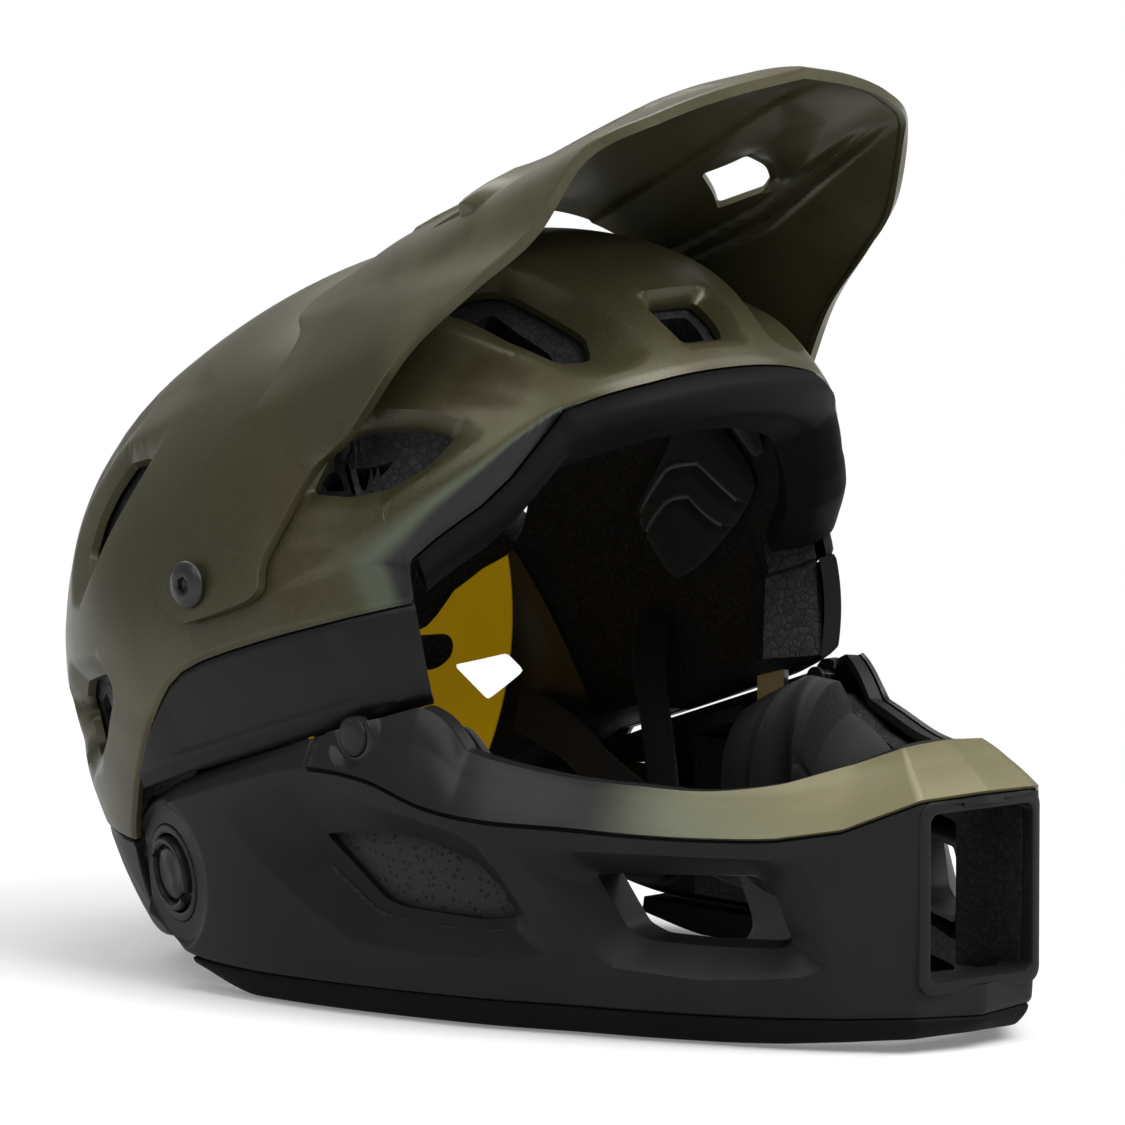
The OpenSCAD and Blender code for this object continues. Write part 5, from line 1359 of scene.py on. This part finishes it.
# %% [markdown]
# ## Straps
# Webbing is flat and keeps its width, so it is modelled directly: a strip carried along a route, turning
# its width as it goes. Three runs meet on each side in a divider below the ear.

# %% Straps
STRAP_W, STRAP_T, CRADLE_W = 15.0, 1.6, 71.0
strap_x = -(CRADLE_W - 11)
join = np.array([strap_x, 24, 42])
step = STRAP_T + 0.3
strap_top = dome_at(77, 3, FOAM_IN - 0.5) + [STRAP_T, 0, 0]
strap_back = dome_at(120, 3, FOAM_IN - 0.4 - 1 - 3)


def webbing(name, route, across, thick, sign, count=70):
    """Strip of webbing: a smooth route with a width and a thickness vector at each of its points, and
    rounded selvedges."""
    route, across, thick = (np.broadcast_to(np.asarray(v, float), (len(route), 3)) for v in (route, across, thick))
    at = np.linspace(0, len(route) - 1, count)
    path, across, thick = catmull(route, at), unit(catmull(across, at)), catmull(thick, at)
    w = np.linspace(-1, 1, 17)
    edge = (np.abs(w) ** 10 * 0.32)[None, :, None]
    flat = path[:, None] + across[:, None] * (w * STRAP_W / 2)[None, :, None]
    outer = flat + thick[:, None] * (1 - edge)
    inner = flat + thick[:, None] * edge
    return wall_piece(name, outer * [sign, 1, 1], inner * [sign, 1, 1], smooth=60)


straps = []
for name, sign in SIDES:
    thick = np.array([STRAP_T, 0, 0.2])
    front = [strap_top, strap_top + [4, -2, -14], [strap_x - 9, 34, 64], join + [-1.5 * step, 0, 0]]
    rear = [strap_back, [strap_x - 6, 72, 60], [strap_x, 48, 51], join + [0.5 * step, 1, -1]]
    straps.append(webbing("strap_front_" + name, front, unit([0, 1, 0.2]), thick, sign))
    straps.append(webbing("strap_back_" + name, rear, unit([0, -0.35, 1]), thick, sign))
    w = 13.6 * np.arange(6)
    bend = ease(w / 55)[:, None]
    c, s = np.cos(np.radians(w)), np.sin(np.radians(w))
    route = np.stack([(strap_x - 0.5 * step) * c, 20 - 93 * s, 38 - 24 * s], -1)
    wide = unit(mix(np.array([[0, -0.25, 1.0]]), unit(np.stack([93 * c, 60 * s, 0 * s], -1)), bend))
    normal = unit(mix(np.array([[1.0, 0, 0]]), np.array([[0, 0, 1.0]]), bend)) * STRAP_T
    route = np.concatenate([route, [[-17.4, -68, 15]]])
    wide = np.concatenate([wide, [[0, 1, 0]]])
    normal = np.concatenate([normal, [[0, 0, STRAP_T]]])
    straps.append(webbing("strap_chin_" + name, route, wide, normal, sign, 110))

dividers = []
for name, sign in SIDES:
    loop = box_loop(9.5, 11.0, 3.0, 64)
    rings = []
    for depth, shrink in ((-3.4, 0.9), (-3.1, 0.3), (-2.6, 0.0), (2.4, 0.0), (2.9, 0.3), (3.2, 0.9)):
        size = loop * [1 - shrink / 9.5, 1 - shrink / 11]
        rings.append(np.stack([np.full(64, depth), size[:, 0], size[:, 1]], -1) + join + [0, -1.5, -2])
    grid = np.stack(rings, 1) * [sign, 1, 1]
    n, m = grid.shape[:2]
    quads = grid_quads(n, m, n, m - 1).reshape(-1, 4)
    faces = quads.tolist() + [(np.arange(n)[::-1] * m).tolist(), (np.arange(n) * m + m - 1).tolist()]
    p = grid.reshape(-1, 3)
    p0, p1, p2 = (p[quads[:, k]] for k in range(3))
    way = np.einsum("ij,ij->i", p0 - p.mean(0), np.cross(p1 - p0, p2 - p0)).sum()
    dividers.append(add_mesh("strap_divider_" + name, p, faces if way > 0 else [f[::-1] for f in faces], 35))
print("straps", len(straps), "dividers", len(dividers))

# %% [markdown]
# ## Shader maths
# Patterns are written as plain expressions. A small class wraps a socket, and its operators add the Math
# nodes, so that 1 - mask or noise * 0.5 + 0.2 can be written as such. One method makes every other node.

# %% Shader helper
class Value:
    """A socket that can be added, multiplied and compared in Python."""

    def __init__(self, maker, socket):
        self.maker, self.socket = maker, socket

    def math(self, operation, *others):
        """Math node with this value as its first input."""
        return self.maker.node("ShaderNodeMath", dict(operation=operation), self, *others)

    def __add__(self, other):
        return self.math("ADD", other)

    __radd__ = __add__

    def __mul__(self, other):
        return self.math("MULTIPLY", other)

    __rmul__ = __mul__

    def __sub__(self, other):
        return self.math("SUBTRACT", other)

    def __rsub__(self, other):
        return self.maker.node("ShaderNodeMath", dict(operation="SUBTRACT"), other, self)

    def ramp(self, low, high):
        """0 at low, 1 at high, smooth between them."""
        return self.maker.node("ShaderNodeMapRange", dict(interpolation_type="SMOOTHSTEP"), self, low, high, 0.0, 1.0)


class Finish:
    """A material under construction: its nodes come from node(), its constants go on the shader's own
    sockets."""

    def __init__(self, name, **constants):
        self.material = bpy.data.materials.new(name)
        self.material.use_nodes = True
        self.tree = self.material.node_tree
        self.shader = next(n for n in self.tree.nodes if n.type == "BSDF_PRINCIPLED")
        for key, value in constants.items():
            self.shader.inputs[key.replace("_", " ")].default_value = value
        self.place = self.node("ShaderNodeTexCoord", {}, out="Object")

    def node(self, kind, settings, *inputs, out=0, **named):
        """Any node: its type, its settings, then its sockets' values or links, in order or by name."""
        made = self.tree.nodes.new(kind)
        for key, value in settings.items():
            setattr(made, key, value)
        sockets = [s for s in made.inputs if s.enabled]
        pairs = list(zip(sockets, inputs)) + [(made.inputs[k.replace("_", " ")], v) for k, v in named.items()]
        for socket, value in pairs:
            if isinstance(value, Value):
                self.tree.links.new(value.socket, socket)
            elif value is not None:
                socket.default_value = value
        return Value(self, made.outputs[out])

    def noise(self, size, detail=3.0, place=None, rough=0.5):
        """Noise whose features are about size millimetres across."""
        inputs = dict(Vector=place or self.place, Scale=1000.0 / size, Detail=detail, Roughness=rough)
        return self.node("ShaderNodeTexNoise", {}, **inputs)

    def cells(self, size, feature="F1", out=0, place=None):
        """Cells of about size millimetres: distance to their middle or edge, or a colour for each."""
        inputs = dict(Vector=place or self.place, Scale=1000.0 / size, out=out)
        return self.node("ShaderNodeTexVoronoi", dict(feature=feature), **inputs)

    def blend(self, factor, a, b):
        """Colour a where the factor is 0 and b where it is 1."""
        made = self.tree.nodes.new("ShaderNodeMix")
        made.data_type = "RGBA"
        for socket, value in ((made.inputs[0], factor), (made.inputs[6], a), (made.inputs[7], b)):
            if isinstance(value, Value):
                self.tree.links.new(value.socket, socket)
            else:
                socket.default_value = value if socket.name == "Factor" else (*value, 1.0)
        return Value(self, made.outputs[2])

    def along(self, axis):
        """Object coordinate along x, y or z, in metres."""
        return self.node("ShaderNodeSeparateXYZ", {}, self.place, out="XYZ".index(axis.upper()))

    def stretched(self, x, y, z):
        """Object coordinates scaled apart along the three axes."""
        return self.node("ShaderNodeMapping", {}, Vector=self.place, Scale=(x, y, z))

    def wear(self, **links):
        """Links of what varies over the surface into the shader."""
        for key, value in links.items():
            self.tree.links.new(value.socket, self.shader.inputs[key.replace("_", " ")])
        return self

    def bumped(self, height, strength, distance):
        """Bump of a height given 0..1, its depth in millimetres."""
        bump = self.node("ShaderNodeBump", {}, Strength=strength, Distance=distance / 1000.0, Height=height)
        return self.wear(Normal=bump)


print("shader helper ready")

# %% [markdown]
# ## Finishes
# The paint is a satin metallic olive: broad cloudy patches drift between olive and brown, a fine flake
# glitters under the lacquer, and the gloss varies a little. On the chin cover the middle of the front is a
# lighter olive, partly painted highlight. The black mouldings have a fine spark-eroded grain. The foam is
# beads 2 to 3 mm across, pressed together, with a dark line between them. The yellow liner is thin plastic
# with a weak glow in its own colour, which is painted light that makes it brighter.

# %% Paint
def paint(name, fade=False):
    """Olive metallic paint; with fade, the chin cover's, which runs from black through green to olive
    along the bar, with a lighter olive in the middle of its front that is partly painted highlight."""
    f = Finish(name, Metallic=0.3, Coat_Weight=0.2, Coat_Roughness=0.22, Specular_IOR_Level=0.35)
    cloud = f.noise(70, 2.0, rough=0.4)
    patch_mask = f.noise(34, 3.0, rough=0.45)
    flake = f.cells(0.55, out=1)
    spark = f.node("ShaderNodeSeparateColor", {}, flake)
    olive = f.blend(cloud.ramp(0.38, 0.62), (0.05, 0.047, 0.02), (0.098, 0.09, 0.046))
    olive = f.blend(patch_mask.ramp(0.5, 0.68) * 0.75, olive, (0.052, 0.039, 0.018))
    olive = f.blend(spark * 0.2, olive, (0.14, 0.13, 0.08))
    if fade:
        y = f.along("y")
        green = f.blend((y * -1).ramp(0.085, 0.12), (0.012, 0.0125, 0.012), (0.13, 0.145, 0.095))
        x = f.along("x")
        # Middle of the band's front: a lighter olive than the shell's, partly the paint and partly a painted
        # highlight.
        middle = (x.math("ABSOLUTE") * -1 + 0.075).ramp(0.0, 0.035)
        olive = f.blend(middle, green, f.blend(spark * 0.25, (0.165, 0.15, 0.075), (0.22, 0.2, 0.12)))
    else:
        port = f.node("ShaderNodeAttribute", dict(attribute_name="port_fade"), out="Fac")
        olive = f.blend(port.ramp(0.0, 0.45), olive, (0.1, 0.118, 0.08))
        olive = f.blend(port.ramp(0.42, 0.9), olive, (0.016, 0.0165, 0.017))
    roughness = f.noise(14, 3.0) * 0.08 + 0.33 + spark * 0.05
    f.wear(Base_Color=olive, Roughness=roughness)
    f.bumped(flake_height(f), 0.05, 0.05)
    return f.material


def flake_height(f):
    """Orange peel under the flake: soft noise a few millimetres across."""
    return f.noise(2.6, 2.0) * 0.7 + f.noise(0.5, 1.0) * 0.3


olive_paint = paint("olive_paint")
fade_and_highlight_paint = paint("fade_and_highlight_paint", fade=True)


def moulded(name, colour, rough, grain=0.7, depth=0.05, **more):
    """Moulded plastic: a fine grain, softer clouds in gloss, and a colour that lightens a little on the
    grain."""
    more.setdefault("Specular_IOR_Level", 0.22)
    f = Finish(name, **more)
    fine = f.noise(grain, 2.0)
    soft = f.noise(30, 3.0)
    lighter = tuple(min(1.0, c * 1.35 + 0.002) for c in colour)
    shade = f.blend(soft.ramp(0.3, 0.8) * 0.7 + fine * 0.2, colour, lighter)
    f.wear(Base_Color=shade, Roughness=soft * 0.1 + fine * 0.08 + (rough - 0.09))
    f.bumped(fine, 0.25, depth)
    return f.material


black_shell = moulded("black_satin", (0.0105, 0.0105, 0.0107), 0.42)
knob_plastic = moulded("knob_plastic", (0.012, 0.0119, 0.0116), 0.34, 1.1, 0.03)
soft_rubber = moulded("soft_rubber", (0.005, 0.005, 0.0052), 0.6, 0.9, 0.06, Specular_IOR_Level=0.1)
cradle_plastic = moulded("cradle_plastic", (0.012, 0.012, 0.0125), 0.4, 1.4, 0.04)
bolt_grey = moulded("bolt_grey", (0.05, 0.05, 0.05), 0.34, 0.5, 0.02, Metallic=0.55)


def bead_foam():
    """Expanded bead foam: cells 2.6 mm across, each a slightly different grey, with a dark line and a dip
    between them."""
    f = Finish("bead_foam", Specular_IOR_Level=0.25)
    edge = f.cells(2.6, "DISTANCE_TO_EDGE").ramp(0.0, 0.12)
    tone = f.node("ShaderNodeSeparateColor", {}, f.cells(2.6, out=1))
    speck = f.noise(1.1, 3.0).ramp(0.5, 0.72)
    grey = f.blend(tone, (0.011, 0.0112, 0.0125), (0.022, 0.0225, 0.025))
    grey = f.blend(speck * 0.5, grey, (0.055, 0.055, 0.06))
    grey = f.blend(edge, (0.009, 0.009, 0.01), grey)
    f.wear(Base_Color=grey, Roughness=0.72 - edge * 0.12)
    f.bumped(edge * 0.8 + speck * 0.1, 0.5, 0.3)
    return f.material


def liner_finish():
    """Slip liner: glossy yellow at the rear and dark in front of a line across the helmet, with fine flow
    marks, and a weak glow in its own colour that is painted light."""
    # Emission Strength 0.14 is painted light: the liner glows in its own colour, which makes the yellow brighter
    # without a lamp.
    f = Finish("slip_liner_yellow_painted_glow", Coat_Weight=0.25, Coat_Roughness=0.2, Emission_Strength=0.14)
    rear = f.along("y").ramp(0.1112, 0.1118)
    flow = f.noise(1.0, 3.0, place=f.stretched(30, 30, 160))
    yellow = f.blend(flow, (0.86, 0.5, 0.002), (0.95, 0.58, 0.004))
    dark = f.blend(f.noise(24, 3.0).ramp(0.45, 0.8), (0.006, 0.005, 0.004), (0.022, 0.013, 0.007))
    colour = f.blend(rear, dark, yellow)
    # Emission Color takes the liner's colour, so the painted glow is yellow at the rear and dark in front.
    f.wear(Base_Color=colour, Emission_Color=colour, Roughness=rear * 0.12 + 0.24 + flow * 0.06)
    f.bumped(flow, 0.1, 0.05)
    return f.material


def brushed_cloth(name, colour, thread=0.9, mesh=False):
    """Knitted cloth: rows of stitches crossing at thread spacing, a nap that lightens it, and pilling."""
    f = Finish(name, Sheen_Weight=0.2, Sheen_Roughness=0.5, Specular_IOR_Level=0.2)
    k = 2 * math.pi * 1000.0 / thread
    x, y, z = f.along("x"), f.along("y"), f.along("z")
    rows, cols = ((x * 0.6 + y) * k).math("SINE"), (z * k).math("SINE")
    knit = rows * cols * 0.5 + 0.5
    nap = f.noise(5, 4.0)
    tone = f.blend(knit * 0.6 + nap * 0.4, tuple(c * 0.55 for c in colour), tuple(c * 1.5 for c in colour))
    if mesh:
        tone = f.blend(f.cells(2.2).ramp(0.18, 0.4), tuple(c * 0.25 for c in colour), tone)
    f.wear(Base_Color=tone, Roughness=nap * 0.15 + 0.72)
    f.bumped(knit * 0.7 + nap * 0.5, 0.6, 0.25)
    return f.material


def webbing_finish():
    """Strap webbing: ribs across the strap at 1.1 mm, and a finer twill along it."""
    f = Finish("strap_webbing", Sheen_Weight=0.1, Specular_IOR_Level=0.2)
    k = 2 * math.pi * 1000.0 / 1.1
    y, z, x = f.along("y"), f.along("z"), f.along("x")
    ribs = ((y + z * 0.9 + x * 0.4) * k).math("SINE") * 0.5 + 0.5
    twill = ((z - y) * (k * 0.6)).math("SINE") * 0.5 + 0.5
    black = f.blend(ribs * 0.6 + twill * 0.4, (0.003, 0.003, 0.0033), (0.012, 0.012, 0.013))
    f.wear(Base_Color=black, Roughness=twill * 0.15 + 0.6)
    f.bumped(ribs * 0.7 + twill * 0.3, 0.6, 0.25)
    return f.material


def brushed_steel():
    """Stamped steel: fine brush lines along the helmet's length, with faint stains."""
    f = Finish("brushed_steel", Metallic=1.0)
    lines = f.noise(1.0, 3.0, place=f.stretched(400, 25, 400))
    stain = f.noise(6, 3.0)
    f.wear(Base_Color=f.blend(stain, (0.42, 0.42, 0.43), (0.6, 0.6, 0.61)), Roughness=lines * 0.2 + 0.26)
    f.bumped(lines, 0.2, 0.03)
    return f.material


foam_finish, yellow_painted_glow_finish, steel_finish, strap_finish = bead_foam(), liner_finish(), brushed_steel(), webbing_finish()
pad_finish = brushed_cloth("pad_cloth", (0.012, 0.0122, 0.0135))
mesh_cloth = brushed_cloth("vent_mesh_cloth", (0.034, 0.034, 0.036), 1.2, mesh=True)
piping_finish = moulded("piping_thread", (0.2, 0.2, 0.21), 0.5, 0.5, 0.08)
print("finishes", len(bpy.data.materials))

# %% [markdown]
# ## Every piece on its body
# Each new piece rides with the CAD body that it belongs to, takes the place of its CAD node, and gets its
# finish. The CAD nodes that stay, steel plates, nuts, buckles and the fit cradle, get finishes as well.

# %% Bodies and finishes
def settle(piece, body, slot, finish, *nodes):
    """Puts a piece on its body, gives it a finish and lets it stand for its CAD nodes."""
    piece.data.materials.clear()
    piece.data.materials.append(finish)
    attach(piece, body)
    if nodes:
        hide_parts(*nodes)


sides = ("right", "left")
settle(painted_shell, "helmet", "shell_paint", olive_paint, "outer_shell")
settle(foam, "helmet", "foam", foam_finish, "foam_liner")
settle(slip_liner, "helmet", "liner_yellow", yellow_painted_glow_finish, "slip_liner")
settle(brow_roll, "helmet", "trim_rubber", soft_rubber, "brow_trim")
settle(nape_trim, "helmet", "black_shell", black_shell, "nape_trim")
settle(brow_cushion, "helmet", "pad_cloth", pad_finish, "brow_pad")
settle(crown_cushion, "helmet", "pad_cloth", pad_finish, "crown_pad")
settle(visor_skin, "visor", "shell_paint", olive_paint, "visor")
settle(chin_mould, "chin_bar", "black_shell", black_shell, "chin_shell")
settle(chin_band, "chin_bar", "shell_paint", fade_and_highlight_paint, "chin_cover")
settle(skirt, "chin_bar", "trim_rubber", soft_rubber, "chin_skirt")
settle(mouth_ring, "chin_bar", "black_shell", black_shell, "mouth_frame")
settle(dial, "dial", "knob_black", knob_plastic, "fit_dial")
for i, side in enumerate(sides):
    settle(side_pieces[i], "helmet", "black_shell", black_shell, "side_shell_" + side)
    settle(temple_pads[i], "helmet", "pad_cloth", pad_finish, "temple_pad_" + side)
    settle(tunnels[i], "chin_bar", "black_shell", black_shell, "vent_duct_" + side)
    settle(backings[i], "chin_bar", "pad_cloth", mesh_cloth, "vent_backing_" + side)
    settle(cheek_pads[i], "chin_bar", "pad_cloth", pad_finish, "cheek_pad_" + side)
    settle(bolts[i], "helmet", "bolt_grey", bolt_grey, "visor_bolt_" + side)
    settle(knobs[i], "knob_" + side, "knob_black", knob_plastic, "release_knob_" + side)
    settle(seats[i], "chin_bar", "knob_black", knob_plastic, "knob_housing_" + side)
    settle(caps[i], "chin_bar", "knob_black", knob_plastic, "front_cap_" + side)
    for piece in straps[3 * i : 3 * i + 3]:
        settle(piece, "helmet", "webbing", strap_finish, "strap_" + side)
    settle(dividers[i], "helmet", "webbing", cradle_plastic, "strap_" + side)
    for piece in pipings[2 * i : 2 * i + 2]:
        settle(piece, "helmet", "pad_cloth", piping_finish)

KEPT = {
    foam_finish: ["chin_foam"],
    steel_finish: [
        n + s for n in ("visor_nut_", "latch_magnet_", "latch_tongue_", "front_hook_", "front_peg_") for s in sides],
    knob_plastic: ["visor_bush_" + s for s in sides] + ["dial_housing", "buckle_socket", "buckle_tab"],
    cradle_plastic: ["cradle", "cradle_hangers"],
}
for finish, nodes in KEPT.items():
    for node in nodes:
        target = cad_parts[node]
        if not target.material_slots:
            target.data.materials.append(finish)
        for place in target.material_slots:
            place.material = finish

# %% [markdown]
# ## Floor, sky and lights
# A pale floor carries the shadow. Away from the helmet it turns white for the camera, so that the picture
# has the photograph's plain background without any more light on the object. Soft panels stand in
# front, at both sides, behind and overhead, at a level at which a colour renders about as it is written.

# %% Floor and sky
floor_mesh = bpy.data.meshes.new("studio_floor")
floor_mesh.from_pydata([(-9, -9, 0), (9, -9, 0), (9, 9, 0), (-9, 9, 0)], [], [(0, 1, 2, 3)])
floor = placed("studio_floor", floor_mesh)
floor.location.z = -0.0004
floor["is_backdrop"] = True

f = Finish("studio_floor", Roughness=0.9, Specular_IOR_Level=0.0)
x, y = f.along("x"), f.along("y")
far = (x * x + y * y).math("SQRT")
path = f.tree.nodes.new("ShaderNodeLightPath")
direct, glossy, through = (
    Value(f, path.outputs["Is %s Ray" % kind]) for kind in ("Camera", "Glossy", "Transmission"))
f.wear(Base_Color=f.blend(direct, (0.42, 0.42, 0.42), (0.9, 0.9, 0.9)))
seen = direct + glossy + through
white = f.tree.nodes.new("ShaderNodeEmission")
white.inputs["Color"].default_value = (1, 1, 1, 1)
white.inputs["Strength"].default_value = 1.0
cover = f.tree.nodes.new("ShaderNodeMixShader")
factor = seen.math("MINIMUM", 1.0) * (far.ramp(0.22, 0.5) * 0.8 + 0.2)
f.tree.links.new(factor.socket, cover.inputs[0])
f.tree.links.new(f.shader.outputs[0], cover.inputs[1])
f.tree.links.new(white.outputs[0], cover.inputs[2])
output = next(n for n in f.tree.nodes if n.type == "OUTPUT_MATERIAL")
f.tree.links.new(cover.outputs[0], output.inputs["Surface"])
floor_mesh.materials.append(f.material)

world = bpy.data.worlds.new("studio_sky")
bpy.context.scene.world = world
world.use_nodes = True
tree = world.node_tree
tree.nodes.clear()
sky, camera_sky = (tree.nodes.new("ShaderNodeBackground") for _ in range(2))
for node, strength in ((sky, 0.24), (camera_sky, 1.0)):
    node.inputs["Color"].default_value = (1, 1, 1, 1)
    node.inputs["Strength"].default_value = strength
chooser, ray = tree.nodes.new("ShaderNodeMixShader"), tree.nodes.new("ShaderNodeLightPath")
tree.links.new(ray.outputs["Is Camera Ray"], chooser.inputs[0])
tree.links.new(sky.outputs[0], chooser.inputs[1])
tree.links.new(camera_sky.outputs[0], chooser.inputs[2])
tree.links.new(chooser.outputs[0], tree.nodes.new("ShaderNodeOutputWorld").inputs["Surface"])

# %% Lights
def softbox(name, azimuth, elevation, distance, size, power):
    """Square panel at a bearing from the helmet, azimuth 0 at its front and positive to its right, aimed
    at its middle."""
    data = bpy.data.lights.new(name, "AREA")
    data.shape, data.size, data.energy = "SQUARE", size, power
    lamp = placed(name, data)
    a, e = math.radians(azimuth), math.radians(elevation)
    away = np.array([-math.sin(a) * math.cos(e), -math.cos(a) * math.cos(e), math.sin(e)])
    lamp.location = away * distance + [0, 0, 0.13]
    lamp.rotation_euler = (math.pi / 2 - e, 0, -a)


softbox("key_panel", -4, 48, 1.6, 1.0, 24)
softbox("side_panel_light", 85, 42, 1.9, 1.1, 6.5)
softbox("left_panel", -60, 38, 1.9, 1.0, 8)
softbox("rear_panel", 195, 45, 1.8, 1.0, 10)
softbox("top_panel", 0, 88, 1.7, 1.2, 13)

bpy.context.scene.view_settings.view_transform = "Standard"
low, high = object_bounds()
